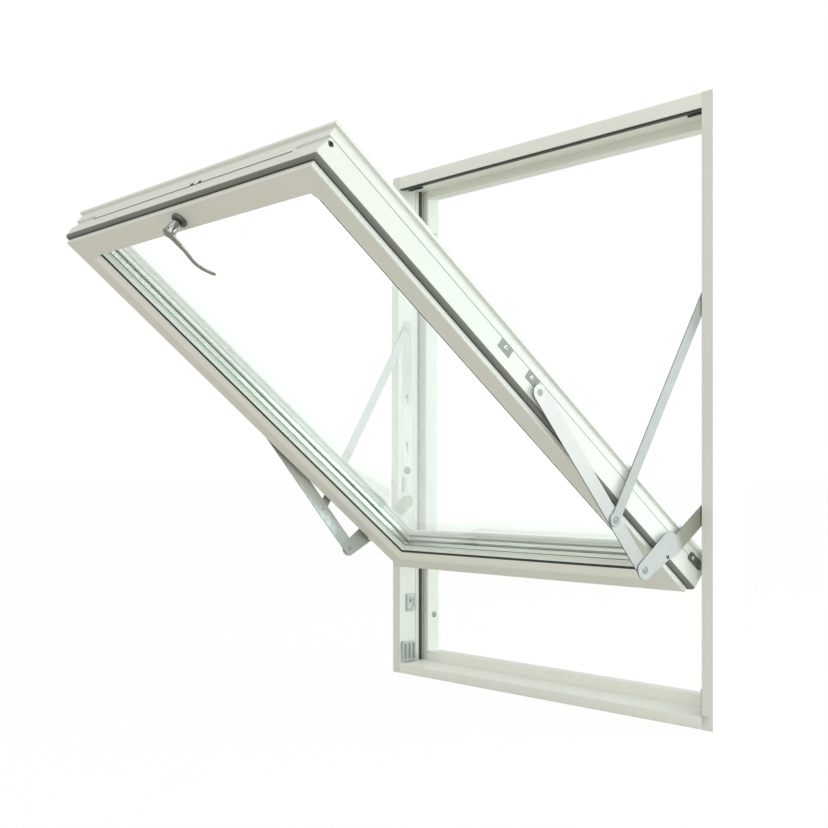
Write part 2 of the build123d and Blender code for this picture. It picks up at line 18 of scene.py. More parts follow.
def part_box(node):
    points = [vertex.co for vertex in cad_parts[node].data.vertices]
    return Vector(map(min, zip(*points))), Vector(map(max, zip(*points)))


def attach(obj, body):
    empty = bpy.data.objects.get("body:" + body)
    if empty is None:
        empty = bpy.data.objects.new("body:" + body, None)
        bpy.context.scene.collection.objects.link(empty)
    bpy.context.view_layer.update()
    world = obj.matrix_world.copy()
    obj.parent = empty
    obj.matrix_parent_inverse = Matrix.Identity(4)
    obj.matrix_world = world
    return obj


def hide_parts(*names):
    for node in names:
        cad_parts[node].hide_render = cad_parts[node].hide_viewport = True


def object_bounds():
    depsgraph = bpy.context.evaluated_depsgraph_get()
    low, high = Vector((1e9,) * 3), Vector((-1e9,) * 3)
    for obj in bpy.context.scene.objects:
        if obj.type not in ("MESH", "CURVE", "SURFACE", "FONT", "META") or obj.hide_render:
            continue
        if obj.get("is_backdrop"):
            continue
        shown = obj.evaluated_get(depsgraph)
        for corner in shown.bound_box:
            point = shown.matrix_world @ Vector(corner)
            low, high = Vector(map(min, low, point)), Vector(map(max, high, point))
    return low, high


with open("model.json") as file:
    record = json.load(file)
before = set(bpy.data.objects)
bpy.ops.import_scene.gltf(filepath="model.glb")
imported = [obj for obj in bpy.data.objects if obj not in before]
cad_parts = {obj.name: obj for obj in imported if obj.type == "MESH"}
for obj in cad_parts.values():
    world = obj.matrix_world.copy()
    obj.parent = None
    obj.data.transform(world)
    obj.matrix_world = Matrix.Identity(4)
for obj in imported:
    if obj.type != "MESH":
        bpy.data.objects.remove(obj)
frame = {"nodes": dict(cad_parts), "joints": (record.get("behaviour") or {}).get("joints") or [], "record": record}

log = logging.getLogger("pivot_window")

# All sizes are in metres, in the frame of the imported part:
# X to the right seen from outside, Y from outside to the room, Z up.

WINDOW = "window"
HANDLE = "handle"
JOINT_LINE = 0.0004
MERGE_DISTANCE = 1e-6
WHITE = (1.0, 1.0, 1.0, 1.0)
Colour = tuple[float, float, float, float]
Triple = tuple[float, float, float]
Pair = tuple[float, float]
Pairs = tuple[Pair, ...]


@functools.cache
def box(node: str) -> tuple[Vector, Vector]:
    """Measure a CAD node once.

    Args:
        node: the node's name.

    Returns:
        Its lowest and highest corner.
    """
    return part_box(node)


class Side(Enum):
    """The two hinge sides, seen from outside."""

    LEFT = -1
    RIGHT = 1

    def node(self, stem: str) -> str:
        """Name of this side's CAD node."""
        return f"{stem}_{self.name.lower()}"


class Recess(Enum):
    """What is cut into the head of a fastener."""

    SIX_LOBE = 6
    CROSS = 4
    NONE = 0


class Run(IntEnum):
    """The sash's sides, in the order in which a profile is swept round it."""

    TOP = 0
    RIGHT = 1
    BOTTOM = 2
    LEFT = 3


class Wiring:
    """A node tree while it is being wired."""

    def __init__(self, tree: NodeTree) -> None:
        """Keep the tree that nodes are added to."""
        self.tree = tree

    def feed(self, node: Node, inputs: dict) -> None:
        """Set or link some of a node's inputs.

        Args:
            node: the node.
            inputs: values or source sockets, by socket name or number.
        """
        for key, value in inputs.items():
            if isinstance(value, NodeSocket):
                self.tree.links.new(value, node.inputs[key])
            else:
                node.inputs[key].default_value = value

    def add(self, kind: str, inputs: dict | None = None, **settings: object) -> Node:
        """Add one node.

        Args:
            kind: the node's type name.
            inputs: values or source sockets, by socket name or number.
            settings: the node's own properties.

        Returns:
            The new node.
        """
        node = self.tree.nodes.new(kind)
        for key, value in settings.items():
            setattr(node, key, value)
        self.feed(node, inputs or {})
        return node

    def math(self, operation: str, first: object, second: object, clamped: bool = False) -> NodeSocket:
        """Add a maths node on two values or sockets and give its result."""
        node = self.add("ShaderNodeMath", {0: first, 1: second}, operation=operation, use_clamp=clamped)
        return node.outputs[0]

    def noise(self, place: NodeSocket, scale: object, detail: float) -> NodeSocket:
        """Add a noise texture and give its value."""
        node = self.add("ShaderNodeTexNoise", {"Vector": place, "Scale": scale, "Detail": detail})
        return node.outputs["Fac"]

    def graded(self, value: NodeSocket, target: Pair, source: Pair = (0.0, 1.0)) -> NodeSocket:
        """Map a value from the source range to the target range and give the result."""
        ends = dict(zip(("From Min", "From Max", "To Min", "To Max"), source + target))
        return self.add("ShaderNodeMapRange", {"Value": value, **ends}).outputs[0]

    def mixed(self, share: NodeSocket, first: Node, second: Node) -> Node:
        """Mix a share of the second shader into the first."""
        return self.add("ShaderNodeMixShader", {0: share, 1: first.outputs[0], 2: second.outputs[0]})


VALUE = "NodeSocketFloat"
TINT = "NodeSocketColor"
VECTOR = "NodeSocketVector"
SKIN_OUTPUTS = {"Colour": TINT, "Roughness": VALUE, "Height": VALUE}
NOISE_RANGE = (0.3, 0.7)
PEEL_SHEEN = (0.85, 1.15)
STREAK_SHEEN = (0.8, 1.25)


def skin_group(name: str, inputs: dict[str, str]) -> tuple[Wiring, Node]:
    """Start a shader node group that gives a skin's Colour, Roughness and Height.

    Args:
        name: the group's name.
        inputs: socket type by input name.

    Returns:
        The group's wiring and its input node.
    """
    tree = bpy.data.node_groups.new(name, "ShaderNodeTree")
    for direction, sockets in (("INPUT", inputs), ("OUTPUT", SKIN_OUTPUTS)):
        for label, kind in sockets.items():
            tree.interface.new_socket(label, in_out=direction, socket_type=kind)
    wiring = Wiring(tree)
    return wiring, wiring.add("NodeGroupInput")


@functools.cache
def sprayed_skin() -> NodeTree:
    """Group for sprayed coats: slow drift of shade, fine orange peel and uneven sheen.

    Returns:
        The node group.
    """
    labels = ("Drift", "Drift Scale", "Peel Scale", "Sheen")
    wiring, start = skin_group("Sprayed skin", {"Colour": TINT, **dict.fromkeys(labels, VALUE)})
    given = start.outputs
    place = wiring.add("ShaderNodeTexCoord").outputs["Object"]
    loss = wiring.math("MULTIPLY", wiring.noise(place, given["Drift Scale"], 4.0), given["Drift"])
    keep = wiring.math("SUBTRACT", 1.0, loss)
    shade = wiring.add("ShaderNodeVectorMath", {0: given["Colour"], 3: keep}, operation="SCALE")
    peel = wiring.noise(place, given["Peel Scale"], 2.0)
    sheen = wiring.math("MULTIPLY", wiring.graded(peel, PEEL_SHEEN, NOISE_RANGE), given["Sheen"])
    wiring.add("NodeGroupOutput", {"Colour": shade.outputs[0], "Roughness": sheen, "Height": peel})
    return wiring.tree


@functools.cache
def drawn_streaks() -> NodeTree:
    """Group for rolled and brushed metal: long streaks over a soft mottle, and a fade to a far colour along a
    direction, which paints shade.

    Returns:
        The node group.
    """
    wiring, start = skin_group(
        "Drawn streaks",
        {
            "Colour": TINT,
            "Far Colour": TINT,
            "Grade": VECTOR,
            "Grade Shift": VALUE,
            "Stretch": VECTOR,
            "Streak": VALUE,
            "Mottle Scale": VALUE,
            "Sheen": VALUE,
        },
    )
    given = start.outputs
    place = wiring.add("ShaderNodeTexCoord").outputs["Object"]
    stretched = wiring.add("ShaderNodeVectorMath", {0: place, 1: given["Stretch"]}, operation="MULTIPLY")
    streak = wiring.noise(stretched.outputs[0], 1.0, 5.0)
    mottle = wiring.noise(place, given["Mottle Scale"], 3.0)
    loss = wiring.math("MULTIPLY", wiring.math("MULTIPLY", streak, mottle), given["Streak"])
    keep = wiring.math("SUBTRACT", 1.0, loss)
    run = wiring.add("ShaderNodeVectorMath", {0: place, 1: given["Grade"]}, operation="DOT_PRODUCT")
    share = wiring.math("ADD", run.outputs["Value"], given["Grade Shift"], clamped=True)
    ends = {0: share, 6: given["Colour"], 7: given["Far Colour"]}
    tint = wiring.add("ShaderNodeMix", ends, data_type="RGBA")
    shade = wiring.add("ShaderNodeVectorMath", {0: tint.outputs[2], 3: keep}, operation="SCALE")
    sheen = wiring.math("MULTIPLY", wiring.graded(streak, STREAK_SHEEN, NOISE_RANGE), given["Sheen"])
    wiring.add("NodeGroupOutput", {"Colour": shade.outputs[0], "Roughness": sheen, "Height": streak})
    return wiring.tree


def emptied(owner: Material | World) -> Wiring:
    """Clear the nodes of a material or world.

    Args:
        owner: the material or world.

    Returns:
        The wiring of its empty tree.
    """
    owner.use_nodes = True
    owner.node_tree.nodes.clear()
    return Wiring(owner.node_tree)


def principled(name: str) -> tuple[Material, Wiring, Node]:
    """Start a material with one Principled shader.

    Args:
        name: the material's name.

    Returns:
        The material, its wiring and the shader node.
    """
    material = bpy.data.materials.new(name)
    wiring = emptied(material)
    shader = wiring.add("ShaderNodeBsdfPrincipled")
    wiring.add("ShaderNodeOutputMaterial", {"Surface": shader.outputs[0]})
    return material, wiring, shader


def dress(wiring: Wiring, shader: Node, skin: Node, depth: float) -> None:
    """Feed a skin group's outputs to a shader.

    Args:
        wiring: the material's wiring.
        shader: the Principled shader.
        skin: the group node with Colour, Roughness and Height outputs.
        depth: height of the bump.
    """
    relief = {"Height": skin.outputs["Height"], "Distance": depth, "Strength": 1.0}
    bump = wiring.add("ShaderNodeBump", relief)
    look = {"Base Color": skin.outputs["Colour"], "Roughness": skin.outputs["Roughness"]}
    wiring.feed(shader, {**look, "Normal": bump.outputs["Normal"]})


@dataclass(frozen=True)
class SprayedFinish:
    """A sprayed coat on timber, aluminium, rubber or moulded plastic."""

    name: str
    colour: Colour
    sheen: float
    drift: float = 0.05
    drift_scale: float = 6.0
    peel_scale: float = 900.0
    peel_depth: float = 0.00002
    specular: float = 0.5

    @functools.cached_property
    def material(self) -> Material:
        """Make the finish's material once.

        Returns:
            The material.
        """
        material, wiring, shader = principled(self.name)
        skin = wiring.add(
            "ShaderNodeGroup",
            {
                "Colour": self.colour,
                "Drift": self.drift,
                "Drift Scale": self.drift_scale,
                "Peel Scale": self.peel_scale,
                "Sheen": self.sheen,
            },
            node_tree=sprayed_skin(),
        )
        wiring.feed(shader, {"Specular IOR Level": self.specular})
        dress(wiring, shader, skin, self.peel_depth)
        return material


@dataclass(frozen=True)
class MetalFinish:
    """Plated or brushed metal."""

    name: str
    colour: Colour
    sheen: float
    stretch: Triple
    streak: float = 0.25
    mottle_scale: float = 40.0
    streak_depth: float = 0.00001
    # Painted shade: the colour fades to far_colour along grade.
    far_colour: Colour | None = None
    grade: Triple = (0.0, 0.0, 0.0)
    grade_shift: float = 0.0

    @functools.cached_property
    def material(self) -> Material:
        """Make the finish's material once.

        Returns:
            The material.
        """
        material, wiring, shader = principled(self.name)
        skin = wiring.add(
            "ShaderNodeGroup",
            {
                "Colour": self.colour,
                "Far Colour": self.far_colour or self.colour,
                "Grade": self.grade,
                "Grade Shift": self.grade_shift,
                "Stretch": self.stretch,
                "Streak": self.streak,
                "Mottle Scale": self.mottle_scale,
                "Sheen": self.sheen,
            },
            node_tree=drawn_streaks(),
        )
        wiring.feed(shader, {"Metallic": 1.0})
        dress(wiring, shader, skin, self.streak_depth)
        return material


@dataclass(frozen=True)
class GlassFinish:
    """Clear float glass that lets lamps through."""

    name: str
    colour: Colour
    shadow: Colour
    index: float = 1.5
    reflection: float = 0.03
    haze_scale: float = 3.0
    haze: float = 0.004

    @functools.cached_property
    def material(self) -> Material:
        """Make the finish's material once.

        Returns:
            The material.
        """
        material, wiring, shader = principled(self.name)
        place = wiring.add("ShaderNodeTexCoord").outputs["Object"]
        film = wiring.graded(wiring.noise(place, self.haze_scale, 3.0), (0.0, self.haze))
        wiring.feed(
            shader,
            {
                "Base Color": self.colour,
                "IOR": self.index,
                "Transmission Weight": 1.0,
                "Specular IOR Level": self.reflection,
                "Roughness": film,
            },
        )
        clear = wiring.add("ShaderNodeBsdfTransparent", {"Color": self.shadow})
        path = wiring.add("ShaderNodeLightPath").outputs
        unlit = wiring.math("MAXIMUM", path["Is Shadow Ray"], path["Is Diffuse Ray"])
        output = next(node for node in wiring.tree.nodes if node.type == "OUTPUT_MATERIAL")
        wiring.feed(output, {"Surface": wiring.mixed(unlit, shader, clear).outputs[0]})
        return material


Finish = SprayedFinish | MetalFinish | GlassFinish

ROLLED = (400.0, 60.0, 60.0)
PRESSED = (500.0, 150.0, 80.0)
BRUSHED = (900.0, 200.0, 200.0)
EVEN = (700.0, 700.0, 700.0)

PAINT = SprayedFinish("warm_white_paint", (0.80, 0.805, 0.748, 1.0), sheen=0.38, drift=0.04)
# The same white paint made paler: painted light on the sash's inner bevel and on the frame's head and sill.
PAINT_WITH_PAINTED_LIGHT = SprayedFinish("pale_white_paint", (0.925, 0.925, 0.865, 1.0), sheen=0.38, drift=0.04)
# White primer, made near-white so that lit faces blow out to white: real primer and painted highlight.
PRIMER_AND_PAINTED_GLARE = SprayedFinish("white_primer", (0.97, 0.97, 0.955, 1.0), sheen=0.6, drift=0.01, specular=0.3)
POWDER_COAT = SprayedFinish(
    "warm_white_powder_coat", (0.82, 0.825, 0.775, 1.0), sheen=0.42, peel_scale=1600.0
)
GREY_RUBBER = SprayedFinish(
    "grey_rubber", (0.205, 0.21, 0.185, 1.0), sheen=0.62, drift=0.2, peel_depth=0.00004, specular=0.3
)
# Dark rubber of the gaskets and sealant lines, also laid on as painted shade on the seal beside the tier and in
# the gap beside the bolt plate.
DARK_RUBBER_AND_SHADE = SprayedFinish("dark_rubber", (0.075, 0.08, 0.07, 1.0), sheen=0.62, drift=0.2, specular=0.25)
BLACK_RUBBER = SprayedFinish("black_rubber", (0.022, 0.024, 0.022, 1.0), sheen=0.5, drift=0.2, specular=0.4)
PALE_RUBBER = SprayedFinish("pale_rubber", (0.88, 0.90, 0.84, 1.0), sheen=0.55, drift=0.08, specular=0.35)
# Grey of the cladding bead, also laid on the jamb gaskets' room-side heel as painted light.
SEALANT_AND_PAINTED_LIGHT = SprayedFinish("grey_sealant", (0.40, 0.415, 0.38, 1.0), sheen=0.6, drift=0.1, specular=0.3)
GUIDE_GREY = SprayedFinish("grey_guide", (0.12, 0.135, 0.12, 1.0), sheen=0.4, drift=0.3, drift_scale=90.0)
# Near-black moulding of the guides and buffers, also used for the pins and discs in the plate slots, where it
# paints the shade in the slots.
MOULDED_AND_SLOT_SHADE = SprayedFinish("dark_moulding", (0.03, 0.033, 0.03, 1.0), sheen=0.45, drift=0.15)
SPACER = MetalFinish(
    "spacer_bar", (0.68, 0.70, 0.64, 1.0), sheen=0.34, stretch=(300.0, 300.0, 300.0), streak=0.1
)
# Bright zinc of the bar, graded darker towards its lower end as painted shade.
ZINC = MetalFinish(
    "bright_zinc",
    (0.90, 0.92, 0.905, 1.0),
    sheen=0.36,
    stretch=ROLLED,
    streak=0.18,
    far_colour=(0.70, 0.73, 0.73, 1.0),
    grade=(0.0, 0.0, -5.9),
    grade_shift=2.95,
)
DULL_ZINC = MetalFinish("dull_zinc", (0.66, 0.69, 0.685, 1.0), sheen=0.40, stretch=ROLLED, streak=0.2)
# Zinc of the rail, graded darker towards its top as painted shade.
RAIL_ZINC = MetalFinish(
    "rail_zinc",
    (0.92, 0.94, 0.93, 1.0),
    sheen=0.42,
    stretch=(400.0, 60.0, 20.0),
    streak=0.2,
    far_colour=(0.62, 0.655, 0.635, 1.0),
    grade=(0.0, 0.0, 12.0),
    grade_shift=-7.4,
)
# Yellowish passivated zinc of the short arm, graded from dark near the jamb to light out at the blade: the tint is
# the zinc's, the darkening is painted shade.
PASSIVATED_AND_SHADED = MetalFinish(
    "passivated_zinc",
    (0.40, 0.42, 0.35, 1.0),
    sheen=0.42,
    stretch=ROLLED,
    streak=0.18,
    far_colour=(0.70, 0.735, 0.73, 1.0),
    grade=(0.0, -58.9, -20.8),
    grade_shift=1.212,
)
# Dark steel of the rail screws, also laid on the sheet's cut edges as duller cut steel and painted shade.
CUT_STEEL_AND_EDGE_SHADE = MetalFinish("cut_steel", (0.24, 0.26, 0.25, 1.0), sheen=0.5, stretch=(900.0, 90.0, 90.0))
KEEP_STEEL = MetalFinish("pressed_keep", (0.62, 0.66, 0.66, 1.0), sheen=0.36, stretch=PRESSED)
DULL_PLATE = MetalFinish("dull_plate", (0.42, 0.435, 0.425, 1.0), sheen=0.46, stretch=PRESSED)
BRIGHT_SCREW = MetalFinish("bright_screw", (0.80, 0.83, 0.82, 1.0), sheen=0.24, stretch=EVEN)
PLUG = SprayedFinish("grey_plug", (0.42, 0.43, 0.41, 1.0), sheen=0.5, drift=0.1)
NICKEL = MetalFinish("satin_nickel", (0.36, 0.36, 0.34, 1.0), sheen=0.2, stretch=BRUSHED)
# The lever's nickel made darker for the rose: painted shade.
SHADED_ROSE_NICKEL = MetalFinish("dark_nickel", (0.15, 0.155, 0.135, 1.0), sheen=0.32, stretch=BRUSHED)
RIVET_STEEL = MetalFinish("rivet_steel", (0.52, 0.54, 0.54, 1.0), sheen=0.34, stretch=EVEN)
GLASS = GlassFinish("clear_glass", (0.966, 0.992, 0.976, 1.0), (0.945, 0.965, 0.955, 1.0))


def new_piece(name: str, mesh: Mesh) -> Object:
    """Link a mesh to the scene.

    Args:
        name: the piece's name.
        mesh: its mesh, already in place.

    Returns:
        The new object, at the origin.
    """
    piece = bpy.data.objects.new(name, mesh)
    bpy.context.scene.collection.objects.link(piece)
    return piece


def mesh_of(name: str, build: BMesh) -> Mesh:
    """Turn a BMesh into a mesh with outward faces.

    Args:
        name: the mesh's name.
        build: the BMesh, which is freed.

    Returns:
        The mesh.
    """
    bmesh.ops.recalc_face_normals(build, faces=build.faces)
    mesh = bpy.data.meshes.new(name)
    build.to_mesh(mesh)
    build.free()
    return mesh


def smooth(mesh: Mesh, angle: float = 35.0) -> None:
    """Shade a mesh smooth up to an angle, in degrees."""
    mesh.shade_smooth()
    mesh.set_sharp_from_angle(angle=math.radians(angle))


def bake(piece: Object) -> None:
    """Apply a piece's modifiers and remove them.

    Args:
        piece: the object, whose mesh is replaced by the evaluated one.
    """
    graph = bpy.context.evaluated_depsgraph_get()
    mesh = bpy.data.meshes.new_from_object(
        piece.evaluated_get(graph), preserve_all_data_layers=True, depsgraph=graph
    )
    piece.modifiers.clear()
    bare = piece.data
    piece.data = mesh
    bpy.data.meshes.remove(bare)


def discard(piece: Object) -> None:
    """Remove a helper object and its mesh.

    Args:
        piece: the object.
    """
    mesh = piece.data
    bpy.data.objects.remove(piece)
    bpy.data.meshes.remove(mesh)


def joined(name: str, strips: Iterable[Mesh]) -> Object:
    """Make one piece of several meshes.

    Args:
        name: the piece's name.
        strips: the meshes, which are removed.

    Returns:
        The piece.
    """
    build = bmesh.new()
    for strip in strips:
        build.from_mesh(strip)
        bpy.data.meshes.remove(strip)
    return new_piece(name, mesh_of(name, build))


def oblong(root: float, crest: float, near: float, far: float) -> Pairs:
    """Profile of a strip, between two reaches and two depths."""
    return ((root, near), (crest, near), (crest, far), (root, far))


def skinned(build: BMesh, rings: Sequence[Sequence[bmesh.types.BMVert]]) -> None:
    """Join rings of equal length by faces and close both ends.

    Args:
        build: the BMesh to add to.
        rings: the points of each ring.
    """
    for ring, following in zip(rings, rings[1:]):
        for step in range(len(ring)):
            far = (step + 1) % len(ring)
            build.faces.new((ring[step], ring[far], following[far], following[step]))
    build.faces.new(rings[0])
    build.faces.new(rings[-1])


def turned(build: BMesh, base: Vector, axis: Vector, profile: Sequence[Pair], segments: int) -> None:
    """Add a turned form to a BMesh.

    Args:
        build: the BMesh to add to.
        base: where the axis starts.
        axis: unit vector along the axis.
        profile: radius and height pairs, from one end to the other.
        segments: facets round the form.
    """
    turn = axis.to_track_quat("Z", "Y")
    rings = []
    for radius, height in profile:
        count = segments if radius > 0.0 else 1
        angles = [math.tau * step / count for step in range(count)]
        spots = [Vector((radius * math.cos(angle), radius * math.sin(angle), height)) for angle in angles]
        rings.append([build.verts.new(base + turn @ spot) for spot in spots])
    for ring, following in zip(rings, rings[1:]):
        for step in range(segments):
            far = step + 1
            corners = (
                ring[step % len(ring)],
                ring[far % len(ring)],
                following[far % len(following)],
                following[step % len(following)],
            )
            build.faces.new(dict.fromkeys(corners))


def islands(build: BMesh) -> list[list[Vector]]:
    """Split a BMesh into its separate solids.

    Args:
        build: the BMesh.

    Returns:
        The points of each solid.
    """
    left = set(build.verts)
    found = []
    while left:
        queue = [left.pop()]
        solid = []
        while queue:
            vert = queue.pop()
            solid.append(vert.co.copy())
            near = {edge.other_vert(vert) for edge in vert.link_edges} & left
            left -= near
            queue.extend(near)
        found.append(solid)
    return found


def ring_mesh(
    name: str,
    place: "SashPlace",
    opening: "Opening",
    profile: Sequence[Pair],
    runs: Sequence[Run] = tuple(Run),
) -> Mesh:
    """Sweep a closed profile round the sash with mitred corners.

    Args:
        name: the mesh's name.
        place: where the sash hangs.
        opening: the rectangle that the profile's reach is measured from.
        profile: reach out from the rectangle and depth from the room-side face.
        runs: which of the top, right, bottom and left runs are made.

    Returns:
        The mesh.
    """
    build = bmesh.new()
    rings = []
    for reach, depth in profile:
        half = opening.half_width + reach
        low, high = opening.low - reach, opening.high + reach
        corners = ((-half, low), (half, low), (half, high), (-half, high))
        rings.append([build.verts.new(place.at(across, along, depth)) for across, along in corners])
    for ring, following in zip(rings, rings[1:] + rings[:1]):
        for corner in runs:
            far = (corner + 1) % len(Run)
            build.faces.new((ring[corner], ring[far], following[far], following[corner]))
    mesh = mesh_of(name, build)
    smooth(mesh)
    return mesh


def fit_out(
    piece: Object,
    finish: Finish | None,
    replaced: Sequence[str] = (),
    body: str = WINDOW,
) -> None:
    """Give a finished piece its finish and body.

    Args:
        piece: the finished object.
        finish: its finish, or None where its mesh already has one.
        replaced: CAD nodes that the piece stands for.
        body: the CAD body that it rides on.
    """
    if finish is not None:
        piece.data.materials.clear()
        piece.data.materials.append(finish.material)
    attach(piece, body)
    if replaced:
        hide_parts(*replaced)
    log.info("%s: %d faces on %s", piece.name, len(piece.data.polygons), body)


def square_nowhere(_middle: Vector) -> bool:
    """No edge is left square."""
    return False


@dataclass(frozen=True)
class Softening:
    """How the arrises of a machined or pressed piece are eased."""

    width: float
    segments: int = 2
    least_turn: float = 30.0
    shortest: float = 4.0
    flat_turn: float = 0.5

    def apply(
        self,
        node: str,
        name: str,
        stays_square: Callable[[Vector], bool] = square_nowhere,
        stops: Sequence[float] = (),
        cutter: Object | None = None,
    ) -> Object:
        """Copy a CAD node and ease its arrises.

        Args:
            node: the CAD node.
            name: the new piece's name.
            stays_square: tells from an edge's middle whether it is left square.
            stops: heights at which an upright arris may stop.
            cutter: a solid that is planed away afterwards.

        Returns:
            The eased piece.
        """
        build = bmesh.new()
        build.from_mesh(frame["nodes"][node].data)
        bmesh.ops.remove_doubles(build, verts=build.verts, dist=MERGE_DISTANCE)
        flat = math.radians(self.flat_turn)
        bmesh.ops.dissolve_limit(build, angle_limit=flat, verts=build.verts, edges=build.edges)
        for height in stops:
            everything = build.verts[:] + build.edges[:] + build.faces[:]
            level = (0.0, 0.0, height)
            bmesh.ops.bisect_plane(build, geom=everything, plane_co=level, plane_no=(0.0, 0.0, 1.0))
        arrises = [
            edge
            for edge in build.edges
            if edge.is_manifold
            and edge.calc_face_angle() > math.radians(self.least_turn)
            and edge.calc_length() > self.shortest * self.width
            and not stays_square((edge.verts[0].co + edge.verts[1].co) / 2)
        ]
        bmesh.ops.bevel(
            build,
            geom=arrises,
            offset=self.width,
            offset_type="OFFSET",
            segments=self.segments,
            profile=0.5,
            affect="EDGES",
            clamp_overlap=True,
        )
        piece = new_piece(name, mesh_of(name, build))
        smooth(piece.data)
        if cutter is not None:
            plane = piece.modifiers.new("planed away", "BOOLEAN")
            plane.operation = "DIFFERENCE"
            plane.solver = "EXACT"
            plane.object = cutter
        weigh = piece.modifiers.new("even faces", "WEIGHTED_NORMAL")
        weigh.keep_sharp = True
        bake(piece)
        return piece


@dataclass(frozen=True)
class SashPlace:
    """Where the opened sash hangs, with places given across, along and through it."""

    top_edge: Vector
    along: Vector
    outward: Vector

    def at(self, across: float, along: float, depth: float) -> Vector:
        """A point of the sash.

        Args:
            across: distance to the right of the middle.
            along: distance from the closed-top edge.
            depth: distance out from the room-side face.

        Returns:
            The point in the part's frame.
        """
        return self.top_edge + Vector((across, 0.0, 0.0)) + self.along * along + self.outward * depth

    def along_of(self, point: Vector) -> float:
        """Distance of a point from the closed-top edge."""
        return (point - self.top_edge).dot(self.along)

    def depth_of(self, point: Vector) -> float:
        """Distance of a point out from the room-side face."""
        return (point - self.top_edge).dot(self.outward)


def handle_joint() -> tuple[Vector, Vector]:
    """Foot and axis of the handle's spindle."""
    joint = next(joint for joint in frame["joints"] if joint["name"] == "handle_turn")
    return Vector(joint["pos_m"]), Vector(joint["axis"])


@dataclass(frozen=True)
class Opening:
    """A rectangle on the sash, about its middle line."""

    half_width: float
    low: float
    high: float


def recolour(mesh: Mesh, finish: Finish, chosen: Callable[[Vector, Vector], bool]) -> None:
    """Give some faces of a dressed mesh a second finish.

    Args:
        mesh: the mesh, which already has its first finish.
        finish: the second finish.
        chosen: tells from a face's middle and normal whether it takes the second finish.
    """
    mesh.materials.append(finish.material)
    for face in mesh.polygons:
        if chosen(face.center, face.normal):
            face.material_index = len(mesh.materials) - 1


